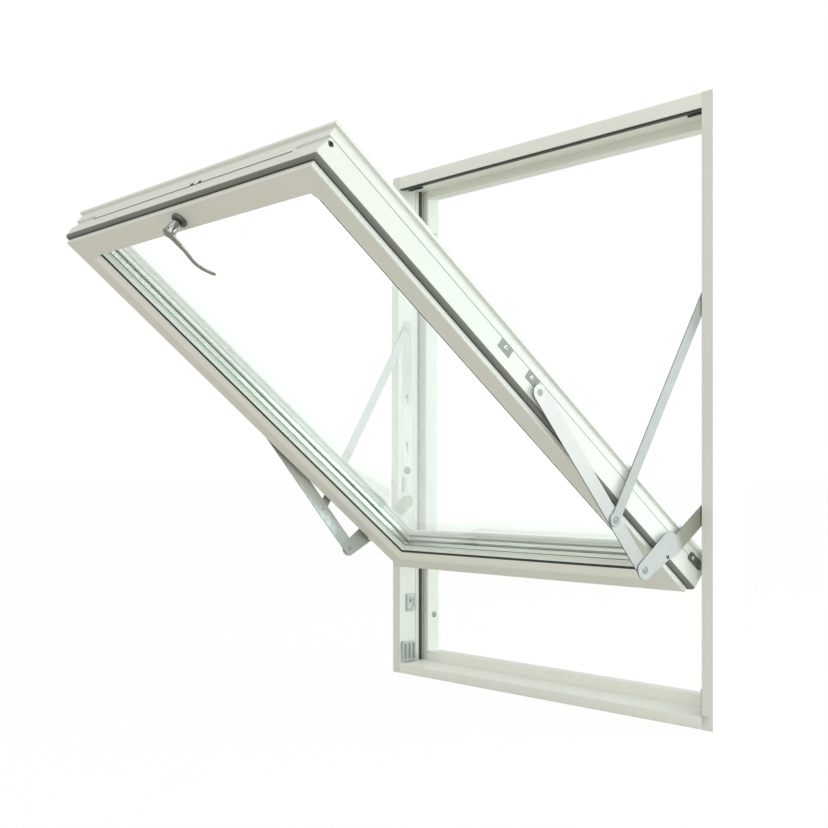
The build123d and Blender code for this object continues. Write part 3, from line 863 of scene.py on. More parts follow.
@dataclass
class Sash:
    """The opened sash: timber ring, cladding ring and the seal on its shoulder."""

    length: float = 1.080
    half_width: float = 0.446
    rail_face: float = 0.047
    shoulder: float = 0.009
    shoulder_depth: float = 0.018
    seal_size: float = 0.0085
    seal_steps: int = 12
    seal_shade: float = 0.0034
    let_in_depth: float = 0.038
    bead_depth: float = 0.0545
    bead_half: float = 0.0008
    bead_proud: float = 0.00015
    bead_runs: tuple[Run, ...] = (Run.TOP, Run.RIGHT, Run.LEFT)
    plate_half: float = 0.363
    plate_gap: Pair = (0.0424, 0.0439)
    bevel_depth: float = 0.020
    bevel_leans: Pairs = ((0.40, 0.50), (0.88, 0.93))
    planed_edge: Triple = (0.391, 0.047, 1.0147)
    planed: Pairs = ((0.01826, -0.002), (-0.00856, 0.0106), (-0.02, 0.0106), (-0.02, -0.002))
    timber_softening: Softening = Softening(0.0024, segments=3)
    cladding_softening: Softening = Softening(0.0010)
    place: SashPlace = field(init=False)

    def __post_init__(self) -> None:
        """Read the sash's place from the handle's joint."""
        spindle, axis = handle_joint()
        outward = -axis
        along = Vector((1.0, 0.0, 0.0)).cross(outward)
        if along.z < 0:
            along.negate()
        self.place = SashPlace(spindle - along * (self.length - self.rail_face / 2), along, outward)

    def build(self) -> None:
        """Make and dress the sash's pieces."""
        edge = Opening(*self.planed_edge)
        cutter = new_piece("bevel_cutter", ring_mesh("bevel_cutter", self.place, edge, self.planed))
        for part in ("stile_left", "stile_right", "top_rail", "bottom_rail"):
            node = f"sash_{part}"
            plane = None if part == "bottom_rail" else cutter
            piece = self.timber_softening.apply(node, f"painted_{node}", self.on_timber_joint, cutter=plane)
            fit_out(piece, PAINT, [node])
            # Painted light: the bevel is painted paler than the face, as if it caught more light.
            recolour(piece.data, PAINT_WITH_PAINTED_LIGHT, self.on_bevel)
        discard(cutter)
        for part in ("left", "right", "top", "bottom"):
            node = f"sash_cladding_{part}"
            piece = self.cladding_softening.apply(node, f"coated_{node}", self.on_mitre)
            fit_out(piece, POWDER_COAT, [node])
        self.build_seal()
        self.build_bead()

    def on_timber_joint(self, middle: Vector) -> bool:
        """True on the butt joints between rails and stiles, and where hardware or cladding is let in."""
        butted = abs(abs(middle.x) - abs(box("sash_bottom_rail")[1].x)) < JOINT_LINE
        return butted or self.place.depth_of(middle) > self.let_in_depth - JOINT_LINE

    def on_bevel(self, middle: Vector, normal: Vector) -> bool:
        """True on the bevel that leads from the room-side face down to the glass, which takes the paler paint as
        painted light.
        """
        lean, depth = -normal.dot(self.place.outward), self.place.depth_of(middle)
        return depth < self.bevel_depth and any(low < lean < high for low, high in self.bevel_leans)

    def on_mitre(self, middle: Vector) -> bool:
        """Tell the mitres of the cladding.

        Args:
            middle: an edge's middle.

        Returns:
            Whether the edge lies on a mitre.
        """
        flange = box("sash_cladding_right")[1].x
        along, overhang = self.place.along_of(middle), flange - self.half_width
        from_end = min(along + overhang, self.length + overhang - along)
        return abs(from_end - (flange - abs(middle.x))) < JOINT_LINE

    def beside_tier(self, middle: Vector, _normal: Vector) -> bool:
        """True on the part of the seal that lies in the shade of the sash's inner tier, which is painted dark as
        painted shade.
        """
        along = self.place.along_of(middle)
        return max(abs(middle.x) - self.half_width, -along, along - self.length) < self.seal_shade

    def build_seal(self) -> None:
        """Make the quarter-round seal on the shoulder."""
        turns = [math.pi / 2 * step / self.seal_steps for step in range(self.seal_steps + 1)]
        size, root = self.seal_size, self.shoulder_depth
        bulb = [(0.0, root), *((size * math.cos(turn), root - size * math.sin(turn)) for turn in turns)]
        edge = Opening(self.half_width, 0.0, self.length)
        piece = new_piece("sash_seal_bulb", ring_mesh("sash_seal_bulb", self.place, edge, bulb))
        fit_out(piece, GREY_RUBBER, ["sash_seal"])
        # Painted shade: the seal's faces beside the tier take the dark rubber.
        recolour(piece.data, DARK_RUBBER_AND_SHADE, self.beside_tier)

    def build_bead(self) -> None:
        """Make the bead beside the cladding and, in the same piece, a dark strip in the gap beside the bolt plate
        that is painted shade.
        """
        half, crest = self.bead_half, self.shoulder + self.bead_proud
        bead = oblong(self.shoulder - half, crest, self.bead_depth - half, self.bead_depth + half)
        gap = oblong(crest - half, crest, *self.plate_gap)
        edge = Opening(self.half_width, 0.0, self.length)
        plate = Opening(self.plate_half - self.shoulder, 0.0, self.length)
        strips = [
            ring_mesh("bead", self.place, edge, bead, self.bead_runs),
            ring_mesh("joint", self.place, plate, gap, (Run.BOTTOM,)),
        ]
        piece = joined("cladding_bead", strips)
        fit_out(piece, SEALANT_AND_PAINTED_LIGHT)
        # Painted shade: the strip in the bolt plate's gap takes the dark finish.
        recolour(piece.data, DARK_RUBBER_AND_SHADE, self.beside_plate)

    def beside_plate(self, middle: Vector, _normal: Vector) -> bool:
        """True on the strip in the gap along the bolt plate, painted dark as the shade in that gap."""
        return self.place.depth_of(middle) < self.plate_gap[1] + JOINT_LINE


@dataclass
class OuterFrame:
    """The fixed timber frame and its rubber gaskets."""

    softening: Softening = Softening(0.0018, segments=3)
    gasket_softening: Softening = Softening(0.0003)
    wall_slope: float = 0.5

    def build(self) -> None:
        """Make and dress the frame's pieces."""
        head_lip = box("frame_gasket_head")[1].z
        sill_nose = box("lock_keep_right")[0].z
        for node in ("frame_jamb_left", "frame_jamb_right", "frame_head", "frame_sill"):
            stops = (sill_nose, head_lip) if "jamb" in node else ()
            piece = self.softening.apply(node, f"painted_{node}", self.on_joint, stops)
            # Painted light: head and sill are painted paler than the jambs, which lifts the shaded soffit.
            fit_out(piece, PAINT if "jamb" in node else PAINT_WITH_PAINTED_LIGHT, [node])
            recolour(piece.data, PRIMER_AND_PAINTED_GLARE, self.against_wall)
        for side in Side:
            node = side.node("frame_gasket")
            piece = self.gasket_softening.apply(node, f"moulded_{node}")
            fit_out(piece, DARK_RUBBER_AND_SHADE, [node])
            # Painted light: the gasket's room-side heel takes the paler grey.
            recolour(piece.data, SEALANT_AND_PAINTED_LIGHT, self.on_gasket_heel)

    def against_wall(self, middle: Vector, normal: Vector) -> bool:
        """Tell the faces that the wall hides, which are left in primer; the primer is near-white so that these
        faces blow out to white under the key lamp, partly painted highlight.

        Args:
            middle: a face's middle.
            normal: its normal.

        Returns:
            Whether the wall hides it.
        """
        low, high = box("frame_jamb_left")[0], box("frame_jamb_right")[1]
        gaps = (middle.x - low.x, high.x - middle.x, middle.z - low.z, high.z - middle.z)
        return min(gaps) < JOINT_LINE and abs(normal.y) < self.wall_slope

    def on_gasket_heel(self, middle: Vector, _normal: Vector) -> bool:
        """True on the room-side heel of a jamb gasket, which is painted paler grey as painted light."""
        low, high = box("frame_gasket_right")
        return middle.y > (low.y + high.y) / 2

    def on_joint(self, middle: Vector) -> bool:
        """Tell where the head and sill butt against the jambs.

        Args:
            middle: an edge's middle.

        Returns:
            Whether the edge lies on such a joint.
        """
        reveal = box("frame_jamb_right")[0].x
        drip = box("frame_gasket_head")[1]
        sill_nose = box("lock_keep_right")[0].z
        beside = abs(abs(middle.x) - reveal) < JOINT_LINE
        butted = abs(abs(middle.x) - drip.x) < JOINT_LINE and not sill_nose < middle.z < drip.z
        return beside or butted


@dataclass
class Glazing:
    """Sight lines of the sealed unit, the lip that seals it and the bead on the room side of it."""

    sash: Sash
    sight_lines: Pairs = ((0.026, 0.0272), (0.0368, 0.038), (0.042, 0.0458))
    sight_half: float = 0.378
    sight_ends: Pair = (0.060, 1.020)
    proud: float = 0.0002
    bevel_half: float = 0.381
    lip_ends: Pair = (0.057, 1.0256)
    lip: Pairs = (
        (0.0005, 0.0220), (-0.0040, 0.0220), (-0.0038, 0.0211), (-0.0028, 0.0202), (0.0005, 0.0198),
    )
    bead_ends: Pair = (0.057, 1.0295)
    bead: Pairs = (
        (0.0064, 0.0088), (0.0006, 0.0086), (-0.0006, 0.0092), (-0.0006, 0.0106), (-0.0003, 0.0107),
        (-0.0003, 0.0199), (0.0010, 0.0199),
    )
    flush_bead: Pairs = (
        (0.0064, 0.0088), (0.0052, 0.0087), (0.0010, 0.0105), (-0.0003, 0.0107), (-0.0003, 0.0199),
        (0.0010, 0.0199),
    )
    bead_lip: float = 0.01064
    proud_runs: tuple[Run, ...] = (Run.TOP, Run.BOTTOM, Run.LEFT)

    def build(self) -> None:
        """Make the sealant lines as one piece, the lip of the glazing gasket and the bead."""
        place = self.sash.place
        sight = Opening(self.sight_half, *self.sight_ends)
        lines = [oblong(self.proud, -self.proud, near, far) for near, far in self.sight_lines]
        sealant = joined("spacer_sealant", [ring_mesh("sealant", place, sight, line) for line in lines])
        fit_out(sealant, DARK_RUBBER_AND_SHADE)
        lip = ring_mesh("glazing_lip", place, Opening(self.bevel_half, *self.lip_ends), self.lip)
        fit_out(new_piece("glazing_lip", lip), PALE_RUBBER, ["glazing_gasket"])
        self.build_bead()

    def build_bead(self) -> None:
        """Make the bead as one piece, with its lip flush on the right stile and proud elsewhere."""
        place, edge = self.sash.place, Opening(self.bevel_half, *self.bead_ends)
        strips = [
            ring_mesh("bead", place, edge, self.bead, self.proud_runs),
            ring_mesh("bead", place, edge, self.flush_bead, (Run.RIGHT,)),
        ]
        piece = joined("glazing_bead", strips)
        fit_out(piece, PALE_RUBBER)
        recolour(piece.data, BLACK_RUBBER, self.on_bead_lip)

    def on_bead_lip(self, middle: Vector, _normal: Vector) -> bool:
        """True on the dark lip along the bead's room-side edge."""
        return self.sash.place.depth_of(middle) < self.bead_lip


HINGE_FINISHES: dict[str, MetalFinish] = {
    "long_arm": DULL_ZINC,
    "short_arm": PASSIVATED_AND_SHADED,
    "carrier_bar": ZINC,
    "hinge_rail": RAIL_ZINC,
    "pivot_plate": DULL_PLATE,
    "lock_keep": KEEP_STEEL,
    "restrictor_catch": KEEP_STEEL,
}
# Parts whose cut edges take the dark steel, partly as painted shade.
SHEARED_AND_EDGE_SHADED = ("long_arm", "short_arm", "carrier_bar", "hinge_rail", "pivot_plate")
RAIL_FACE = 0.4675
BUFFER_HEIGHTS = (0.484, 0.500)


@dataclass
class Hinge:
    """Arms, bar, rail and rivets of one side."""

    side: Side
    sheet: Softening = Softening(0.0004)
    rivet_profile: Pairs = (
        (0.0070, 0.0), (0.0070, 0.0006), (0.0064, 0.0010), (0.0057, 0.0010), (0.0054, 0.0002),
        (0.0044, 0.0002), (0.0040, 0.0010), (0.0024, 0.0013), (0.0, 0.0013),
    )
    flush_profile: Pairs = ((0.0062, 0.0), (0.0062, 0.0002), (0.0, 0.0003))
    flush_reach: float = -0.40
    edge_slope: float = 0.6
    shaft_radius: float = 0.0039
    rivet_segments: int = 36

    def build(self) -> None:
        """Make and dress the side's steel."""
        for stem, finish in HINGE_FINISHES.items():
            node = self.side.node(stem)
            piece = self.sheet.apply(node, f"plated_{node}")
            fit_out(piece, finish, [node])
            if stem in SHEARED_AND_EDGE_SHADED:
                recolour(piece.data, CUT_STEEL_AND_EDGE_SHADE, self.is_cut)
            if stem == "hinge_rail":
                recolour(piece.data, DULL_ZINC, self.is_proud)
                recolour(piece.data, MOULDED_AND_SLOT_SHADE, self.on_buffer)
        self.build_rivets()

    def is_cut(self, _middle: Vector, normal: Vector) -> bool:
        """True on the sheared edges of the sheet, which are painted dark: duller cut steel and painted shade."""
        return abs(normal.x) < self.edge_slope

    def is_proud(self, middle: Vector, _normal: Vector) -> bool:
        """True on the cover and the stop that stand on the rail's face."""
        return abs(middle.x) < RAIL_FACE - JOINT_LINE

    def on_buffer(self, middle: Vector, normal: Vector) -> bool:
        """True on the rail's rubber buffer."""
        return self.is_proud(middle, normal) and BUFFER_HEIGHTS[0] < middle.z < BUFFER_HEIGHTS[1]

    def build_rivets(self) -> None:
        """Turn a headed rivet wherever the CAD node has one, flush at the sash's own pivot."""
        node = self.side.node("hinge_rivets")
        bare = bmesh.new()
        bare.from_mesh(frame["nodes"][node].data)
        bmesh.ops.remove_doubles(bare, verts=bare.verts, dist=MERGE_DISTANCE)
        build = bmesh.new()
        for island in islands(bare):
            low = Vector([min(spot[axis] for spot in island) for axis in range(3)])
            high = Vector([max(spot[axis] for spot in island) for axis in range(3)])
            middle = (low + high) / 2
            wide = [spot.x for spot in island if (spot - middle).yz.length > self.shaft_radius + JOINT_LINE]
            outward = 1.0 if sum(wide) / len(wide) > middle.x else -1.0
            foot = min(wide) if outward > 0 else max(wide)
            tail = low.x if outward > 0 else high.x
            profile = [(0.0, (tail - foot) * outward), (self.shaft_radius, (tail - foot) * outward)]
            head = self.flush_profile if middle.y < self.flush_reach else self.rivet_profile
            profile += [(self.shaft_radius, 0.0), *head]
            base, axis = Vector((foot, middle.y, middle.z)), Vector((outward, 0.0, 0.0))
            turned(build, base, axis, profile, self.rivet_segments)
        bare.free()
        piece = new_piece(f"headed_{node}", mesh_of(f"headed_{node}", build))
        smooth(piece.data)
        fit_out(piece, RIVET_STEEL, [node])


@dataclass(frozen=True)
class Spot:
    """Where a fastener sits."""

    point: Vector
    facing: Vector
    spin: float = 0.0


@dataclass
class Fasteners:
    """Like fasteners, set out as instances on points and then made one mesh."""

    name: str
    radius: float
    recess: Recess
    finish: Finish
    slot: str
    spots: Sequence[Spot]
    head: Pairs = ((1.0, -0.3), (1.0, 0.12), (0.93, 0.26), (0.72, 0.36))
    recess_floor: float = -0.15
    recess_radius: float = 0.40
    lobe_depth: float = 0.2
    segments: int = 36

    def build(self) -> None:
        """Make the fasteners and hand them to the window."""
        template = bpy.data.objects.new(f"{self.name}_template", self.template_mesh())
        piece = new_piece(self.name, self.point_mesh())
        modifier = piece.modifiers.new("set out", "NODES")
        modifier.node_group = self.layout()
        named = {item.name: item.identifier for item in modifier.node_group.interface.items_tree}
        modifier[named["Template"]] = template
        modifier[named["Head Radius"]] = self.radius
        modifier[named["Finish"]] = self.finish.material
        bake(piece)
        smooth(piece.data)
        discard(template)
        fit_out(piece, None)

    def template_mesh(self) -> Mesh:
        """Make one fastener's head, of radius 1, facing up.

        Returns:
            The head's mesh.
        """
        build = bmesh.new()
        turns = [math.tau * step / self.segments for step in range(self.segments)]
        outlines = [([radius] * self.segments, height) for radius, height in self.head]
        if self.recess is not Recess.NONE:
            waves = [1.0 + self.lobe_depth * math.cos(self.recess.value * turn) for turn in turns]
            lobes = [self.recess_radius * wave for wave in waves]
            outlines += [(lobes, self.head[-1][1]), (lobes, self.recess_floor)]
        rings = []
        for reaches, height in outlines:
            spots = [(r * math.cos(turn), r * math.sin(turn), height) for r, turn in zip(reaches, turns)]
            rings.append([build.verts.new(spot) for spot in spots])
        skinned(build, rings)
        return mesh_of(f"{self.name}_template", build)

    def point_mesh(self) -> Mesh:
        """Make one point for each fastener, with its turn.

        Returns:
            The mesh of points.
        """
        mesh = bpy.data.meshes.new(self.name)
        mesh.from_pydata([spot.point for spot in self.spots], [], [])
        turns = mesh.attributes.new("turn", "QUATERNION", "POINT")
        for item, spot in zip(turns.data, self.spots):
            item.value = spot.facing.to_track_quat("Z", "Y") @ Quaternion((0.0, 0.0, 1.0), spot.spin)
        return mesh

    @staticmethod
    @functools.cache
    def layout() -> NodeTree:
        """Make the node tree that sets a template out on turned points.

        Returns:
            The node tree.
        """
        tree = bpy.data.node_groups.new("Fasteners on points", "GeometryNodeTree")
        for label, kind in (
            ("Points", "NodeSocketGeometry"),
            ("Template", "NodeSocketObject"),
            ("Head Radius", "NodeSocketFloat"),
            ("Finish", "NodeSocketMaterial"),
        ):
            tree.interface.new_socket(label, in_out="INPUT", socket_type=kind)
        tree.interface.new_socket("Fasteners", in_out="OUTPUT", socket_type="NodeSocketGeometry")
        wiring = Wiring(tree)
        given = wiring.add("NodeGroupInput").outputs
        template = wiring.add("GeometryNodeObjectInfo", {"Object": given["Template"], "As Instance": True})
        turn = wiring.add("GeometryNodeInputNamedAttribute", {"Name": "turn"}, data_type="QUATERNION")
        size = wiring.add("ShaderNodeCombineXYZ", dict.fromkeys("XYZ", given["Head Radius"]))
        studs = wiring.add(
            "GeometryNodeInstanceOnPoints",
            {
                "Points": given["Points"],
                "Instance": template.outputs["Geometry"],
                "Rotation": turn.outputs["Attribute"],
                "Scale": size.outputs[0],
            },
        )
        real = wiring.add("GeometryNodeRealizeInstances", {"Geometry": studs.outputs["Instances"]})
        look = {"Geometry": real.outputs["Geometry"], "Material": given["Finish"]}
        dressed = wiring.add("GeometryNodeSetMaterial", look)
        wiring.add("NodeGroupOutput", {"Fasteners": dressed.outputs["Geometry"]})
        return tree


RAIL_SCREWS = (0.670, 0.556)
CATCH_FACE = 0.463
CATCH_SCREWS = ((-0.0275, 0.155), (-0.0180, 0.182))
STILE_FACE = 0.455
PLATE_SCREWS = ((0.548, 0.0465), (0.6235, 0.0465))
SHOE_THICKNESS = 0.003
SHOE_SCREW = (0.033, 0.056)
PLUG_HEIGHTS = (1.056, 0.136)
PLUG_SETBACK = 0.0375
PLUG_SINK = 0.0025
CAP_SINK = 0.0014
BOLT_PLATE_FACE = 1.0885
BOLT_SLOTS = ((0.034, 0.0468), (0.062, 0.0468))
CORNER_SLOT = (1.078, 0.046)
PIN_SINK = 0.0010
BUFFER_SINK = 0.0024
RAIL_SPIN, CATCH_SPIN, PLATE_SPIN = 90.0, 70.0, 50.0


def fastener_sets(sash: Sash) -> list[Fasteners]:
    """Every set of screws, plugs and caps.

    Args:
        sash: the sash that some of them sit on.

    Returns:
        The sets, ready to build.
    """
    place = sash.place
    rail_screws, buffers, catch_screws, plate_screws = ([] for _ in range(4))
    shoe_screws, corner_pins, plugs, bore_caps = ([] for _ in range(4))
    # Near-black pins in the bolt plate's slots: real pins, and painted shade in those slots.
    pins = [Spot(place.at(across, BOLT_PLATE_FACE, depth), place.along) for across, depth in BOLT_SLOTS]
    for side in Side:
        sign = side.value
        inward, outward = Vector((-sign, 0.0, 0.0)), Vector((sign, 0.0, 0.0))
        rail, jamb = box(side.node("hinge_rail")), box(side.node("frame_jamb"))
        rail_x, rail_y = sign * RAIL_FACE, (rail[0].y + rail[1].y) / 2
        rail_screws += [Spot(Vector((rail_x, rail_y, z)), inward, z * RAIL_SPIN) for z in RAIL_SCREWS]
        buffers.append(Spot(Vector((rail_x - sign * BUFFER_SINK, rail_y, sum(BUFFER_HEIGHTS) / 2)), inward))
        catch_x, stile_x = sign * CATCH_FACE, sign * STILE_FACE
        catch_screws += [Spot(Vector((catch_x, y, z)), inward, z * CATCH_SPIN) for y, z in CATCH_SCREWS]
        for along, depth in PLATE_SCREWS:
            plate_screws.append(Spot(place.at(stile_x, along, depth), outward, along * PLATE_SPIN))
        shoe_screws.append(Spot(place.at(stile_x + sign * SHOE_THICKNESS, *SHOE_SCREW), outward))
        # A near-black disc sunk in the corner plate's slot: painted shade in the slot.
        corner_pins.append(Spot(place.at(stile_x - sign * PIN_SINK, *CORNER_SLOT), outward))
        reveal_x = sign * min(abs(jamb[0].x), abs(jamb[1].x))
        wall_x = sign * max(abs(jamb[0].x), abs(jamb[1].x))
        for height in PLUG_HEIGHTS:
            plugs.append(Spot(Vector((reveal_x + sign * PLUG_SINK, PLUG_SETBACK, height)), inward))
            bore_caps.append(Spot(Vector((wall_x - sign * CAP_SINK, PLUG_SETBACK, height)), outward))
    return [
        Fasteners("rail_screws", 0.0042, Recess.SIX_LOBE, CUT_STEEL_AND_EDGE_SHADE, "hinge_steel", rail_screws),
        Fasteners("rail_buffers", 0.0088, Recess.NONE, GUIDE_GREY, "guide", buffers),
        Fasteners("catch_screws", 0.0040, Recess.CROSS, BRIGHT_SCREW, "hinge_steel", catch_screws),
        Fasteners("pivot_plate_screws", 0.0045, Recess.SIX_LOBE, BRIGHT_SCREW, "hinge_steel", plate_screws),
        Fasteners("guide_shoe_screws", 0.0042, Recess.CROSS, BRIGHT_SCREW, "hinge_steel", shoe_screws),
        Fasteners("fixing_plugs", 0.0058, Recess.NONE, PLUG, "guide", plugs),
        # The bore caps take the near-white primer so that they blow out with the face: painted highlight.
        Fasteners("bore_caps", 0.0039, Recess.NONE, PRIMER_AND_PAINTED_GLARE, "guide", bore_caps),
        Fasteners("lock_pins", 0.0034, Recess.CROSS, MOULDED_AND_SLOT_SHADE, "guide", pins),
        Fasteners("corner_pins", 0.0048, Recess.CROSS, MOULDED_AND_SLOT_SHADE, "guide", corner_pins),
    ]


@dataclass
class Handle:
    """Lever on its turned neck, and the rose below it."""

    sash: Sash
    path: Pairs = (
        (-0.0105, 0.0325), (0.0, 0.0335), (0.022, 0.0350), (0.044, 0.0362), (0.067, 0.0385),
        (0.089, 0.0350), (0.112, 0.0258),
    )
    widths: tuple[float, ...] = (0.0080, 0.0092, 0.0058, 0.0042, 0.0040, 0.0042, 0.0042)
    heights: tuple[float, ...] = (0.0050, 0.0060, 0.0040, 0.0030, 0.0028, 0.0028, 0.0026)
    steps: int = 10
    round_count: int = 28
    squareness: float = 2.6
    rose_segments: int = 64
    neck_segments: int = 48
    grip_smoothing: float = 50.0
    neck: Pairs = (
        (0.0, 0.0073), (0.0084, 0.0073), (0.0088, 0.0085), (0.0092, 0.0130), (0.0102, 0.0200),
        (0.0110, 0.0265), (0.0112, 0.0310), (0.0102, 0.0360), (0.0078, 0.0392), (0.0040, 0.0408),
        (0.0, 0.0412),
    )
    rose: Pairs = (
        (0.0, 0.0), (0.0150, 0.0), (0.0150, 0.0040), (0.0146, 0.0052), (0.0134, 0.0062),
        (0.0118, 0.0066), (0.0112, 0.0063), (0.0106, 0.0068), (0.0, 0.0070),
    )

    def build(self) -> None:
        """Make the rose on the window and the lever on the handle's body."""
        base, axis = handle_joint()
        build = bmesh.new()
        turned(build, base, axis, self.rose, self.rose_segments)
        rose = new_piece("turned_rose", mesh_of("turned_rose", build))
        smooth(rose.data)
        # Painted shade: the rose takes the darker nickel.
        fit_out(rose, SHADED_ROSE_NICKEL, ["handle_rose"])
        build = bmesh.new()
        turned(build, base, axis, self.neck, self.neck_segments)
        self.loft(build, base, axis)
        lever = new_piece("drawn_lever", mesh_of("drawn_lever", build))
        smooth(lever.data, self.grip_smoothing)
        fit_out(lever, NICKEL, ["handle_lever"], HANDLE)

    def loft(self, build: BMesh, base: Vector, axis: Vector) -> None:
        """Add the lever's grip along its path.

        Args:
            build: the BMesh to add to.
            base: the spindle's foot.
            axis: unit vector from the sash to the room.
        """
        reach = -self.sash.place.along
        across = Vector((1.0, 0.0, 0.0))
        spots = [base + reach * along + axis * height for along, height in self.path]
        centres, halves = [], []
        sizes = (self.widths, self.heights)
        for number in range(len(spots) - 1):
            for step in range(self.steps):
                share = step / self.steps
                centres.append(self.between(spots, number, share))
                ease = share * share * (3.0 - 2.0 * share)
                halves.append(tuple(row[number] + (row[number + 1] - row[number]) * ease for row in sizes))
        centres.append(spots[-1])
        halves.append((self.widths[-1], self.heights[-1]))
        rings = []
        for number, (centre, (half, thick)) in enumerate(zip(centres, halves)):
            run = (centres[min(number + 1, len(centres) - 1)] - centres[max(number - 1, 0)]).normalized()
            up = run.cross(across).normalized()
            ring = []
            for step in range(self.round_count):
                angle = math.tau * step / self.round_count
                sideways = math.copysign(abs(math.cos(angle)) ** (2.0 / self.squareness), math.cos(angle))
                upwards = math.copysign(abs(math.sin(angle)) ** (2.0 / self.squareness), math.sin(angle))
                ring.append(build.verts.new(centre + across * (half * sideways) + up * (thick * upwards)))
            rings.append(ring)
        skinned(build, rings)

    @staticmethod
    def between(spots: Sequence[Vector], number: int, share: float) -> Vector:
        """A point on the smooth curve through the path.

        Args:
            spots: the path's points.
            number: the point that the stretch starts at.
            share: how far along the stretch, 0 to 1.

        Returns:
            The point.
        """
        start, end = spots[number], spots[number + 1]
        before = spots[max(number - 1, 0)]
        after = spots[min(number + 2, len(spots) - 1)]
        leave, arrive = (end - before) / 2, (after - start) / 2
        square, cube = share**2, share**3
        return (
            start * (2 * cube - 3 * square + 1)
            + leave * (cube - 2 * square + share)
            + end * (3 * square - 2 * cube)
            + arrive * (cube - square)
        )


@dataclass(frozen=True)
class Lamp:
    """A large soft square lamp."""

    name: str
    place: Triple
    target: Triple
    size: float
    power: float
    colour: Triple
    mirrored: bool = True

    def hang(self) -> None:
        """Hang the lamp, turned to its target."""
        data = bpy.data.lights.new(self.name, "AREA")
        data.shape = "SQUARE"
        data.size = self.size
        data.energy = self.power
        data.color = self.colour
        lamp = bpy.data.objects.new(self.name, data)
        lamp.location = self.place
        lamp.visible_glossy = self.mirrored
        lamp.rotation_euler = (Vector(self.target) - Vector(self.place)).to_track_quat("-Z", "Y").to_euler()
        bpy.context.scene.collection.objects.link(lamp)


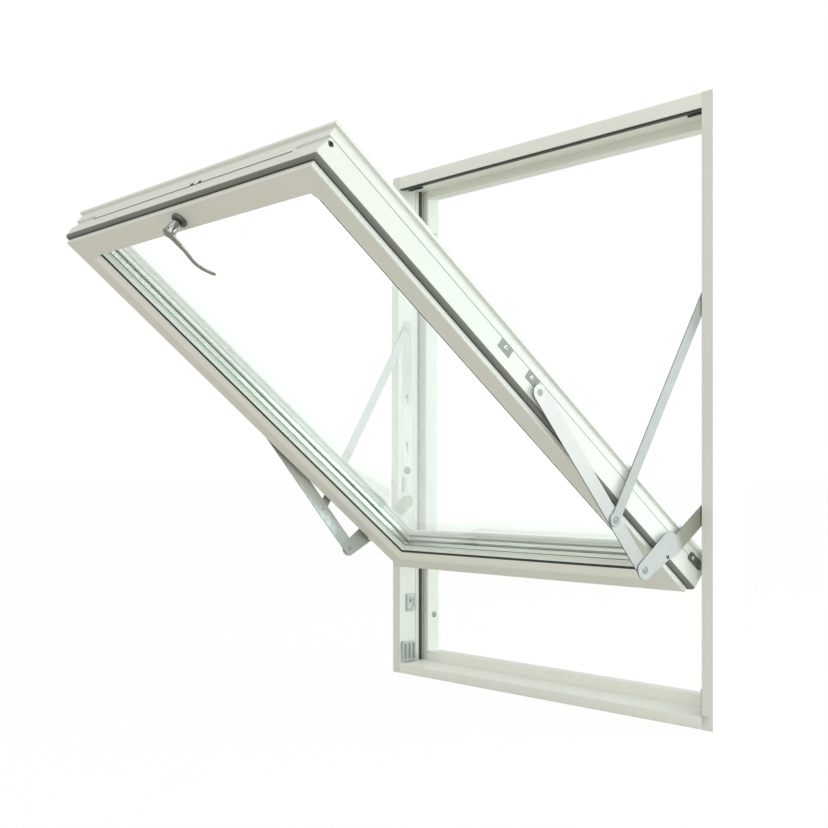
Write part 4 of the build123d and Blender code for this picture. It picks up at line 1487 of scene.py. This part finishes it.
@dataclass
class Studio:
    """Camera, lamps, floor and background."""

    eye: Vector = field(default_factory=lambda: Vector((2.188, -2.0535, 0.478)))
    heading: float = 52.42
    pitch: float = 90.0
    lens: float = 60.2
    sensor: float = 36.0
    rise: float = 0.072
    floor_radius: float = 60.0
    floor_segments: int = 96
    floor_level: float = -0.0005
    floor_colour: Colour = (0.69, 0.665, 0.62, 1.0)
    floor_glow: float = 0.93
    floor_white: float = 1.022
    sky_colour: Colour = (1.0, 0.985, 0.945, 1.0)
    sky_strength: float = 0.85
    mirror_colour: Colour = (0.945, 1.0, 0.995, 1.0)
    mirror_range: Pair = (0.12, 1.62)
    mirror_reach: Pair = (-0.9, 0.8)
    mirror_side: Triple = (0.75, -0.35, 0.56)
    through_glass: float = 1.3
    lamps: tuple[Lamp, ...] = (
        Lamp("key", (4.6, -1.6, 2.4), (0.0, -0.2, 0.6), 5.0, 70.0, (0.735, 0.93, 1.0)),
        Lamp("room_side", (1.95, 1.75, 0.9), (-0.45, 0.0, 0.5), 1.7, 38.0, (0.79, 0.975, 1.0), False),
    )

    def build(self) -> None:
        """Set up the whole studio."""
        bpy.context.scene.view_settings.view_transform = "Standard"
        self.build_camera()
        for lamp in self.lamps:
            lamp.hang()
        self.build_world()
        self.build_floor()

    def build_camera(self) -> None:
        """Place the camera at the photograph's viewpoint."""
        data = bpy.data.cameras.new("viewpoint")
        data.lens = self.lens
        data.sensor_width = self.sensor
        data.shift_y = self.rise
        camera = bpy.data.objects.new("viewpoint", data)
        camera.location = self.eye
        camera.rotation_euler = (math.radians(self.pitch), 0.0, math.radians(self.heading))
        bpy.context.scene.collection.objects.link(camera)
        bpy.context.scene.camera = camera

    def seen(self, wiring: Wiring) -> tuple[NodeSocket, NodeSocket]:
        """Tell the rays that show the background, straight or through glass.

        Args:
            wiring: the tree that reads the rays.

        Returns:
            A socket that is 1 for such rays, and one with the white's strength for them.
        """
        path = wiring.add("ShaderNodeLightPath").outputs
        through = wiring.math("MAXIMUM", path["Is Camera Ray"], path["Is Transmission Ray"])
        return through, wiring.graded(path["Is Transmission Ray"], (1.0, self.through_glass))

    def build_world(self) -> None:
        """White background, a soft sky for the light and a graded one for reflections."""
        world = bpy.data.worlds.new("studio")
        bpy.context.scene.world = world
        wiring = emptied(world)
        sky = wiring.add("ShaderNodeBackground", {"Color": self.sky_colour, "Strength": self.sky_strength})
        sides = {0: wiring.add("ShaderNodeTexCoord").outputs["Generated"], 1: self.mirror_side}
        toward = wiring.add("ShaderNodeVectorMath", sides, operation="DOT_PRODUCT").outputs["Value"]
        grade = wiring.graded(toward, self.mirror_range, self.mirror_reach)
        mirrored = wiring.add("ShaderNodeBackground", {"Color": self.mirror_colour, "Strength": grade})
        path = wiring.add("ShaderNodeLightPath").outputs
        light = wiring.mixed(path["Is Glossy Ray"], sky, mirrored)
        seen, strength = self.seen(wiring)
        white = wiring.add("ShaderNodeBackground", {"Color": WHITE, "Strength": strength})
        wiring.add("ShaderNodeOutputWorld", {"Surface": wiring.mixed(seen, light, white).outputs[0]})

    def build_floor(self) -> None:
        """Lay the pale floor, which keeps a soft shadow."""
        build = bmesh.new()
        bmesh.ops.create_circle(build, cap_ends=True, segments=self.floor_segments, radius=self.floor_radius)
        floor = new_piece("floor", mesh_of("floor", build))
        floor.location.z = self.floor_level
        material = bpy.data.materials.new("pale_floor")
        wiring = emptied(material)
        matt = wiring.add("ShaderNodeBsdfDiffuse", {"Color": self.floor_colour})
        seen, strength = self.seen(wiring)
        white = wiring.math("MULTIPLY", strength, self.floor_white)
        glow = wiring.add("ShaderNodeEmission", {"Color": WHITE, "Strength": white})
        mix = wiring.mixed(wiring.math("MULTIPLY", seen, self.floor_glow), matt, glow)
        wiring.add("ShaderNodeOutputMaterial", {"Surface": mix.outputs[0]})
        floor.data.materials.append(material)
        floor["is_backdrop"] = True


NODE_FINISHES: dict[str, Finish] = {
    "gasket": BLACK_RUBBER,
    "glass": GLASS,
    "spacer": SPACER,
    "guide": MOULDED_AND_SLOT_SHADE,
    "hinge_steel": ZINC,
    "handle_metal": NICKEL,
    "painted_timber": PAINT,
    "cladding": POWDER_COAT,
}


SPECIAL_NODES: dict[str, Finish] = {
    "bolt_plate": POWDER_COAT,
    "guide_shoe_left": GUIDE_GREY,
    "guide_shoe_right": GUIDE_GREY,
}


def dress_nodes(parts: Iterable[dict]) -> None:
    """Give every CAD node the finish of its slot, or its own.

    Args:
        parts: the record's rows of node and material slot.
    """
    for part in parts:
        node = frame["nodes"][part["node"]]
        finish = SPECIAL_NODES.get(part["node"], NODE_FINISHES[part["material_slot"]])
        for slot in node.material_slots:
            slot.material = finish.material


def write_sizes(cad_box: Sequence[Vector]) -> None:
    """Gather the CAD box and the dressed model's box.

    Args:
        cad_box: lowest and highest corner of the CAD model.
    """
    boxes = {
        "cad": [list(corner) for corner in cad_box],
        "visual": [list(corner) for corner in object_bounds()],
    }


def main() -> None:
    """Build the studio and every sub-assembly."""
    logging.basicConfig(level=logging.INFO, format="%(name)s %(message)s")
    cad_box = [corner.copy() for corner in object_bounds()]
    Studio().build()
    dress_nodes(frame["record"]["subparts"])
    OuterFrame().build()
    sash = Sash()
    sash.build()
    Glazing(sash).build()
    for side in Side:
        Hinge(side).build()
    Handle(sash).build()
    for fasteners in fastener_sets(sash):
        fasteners.build()
    write_sizes(cad_box)


if __name__ == "__main__":
    main()
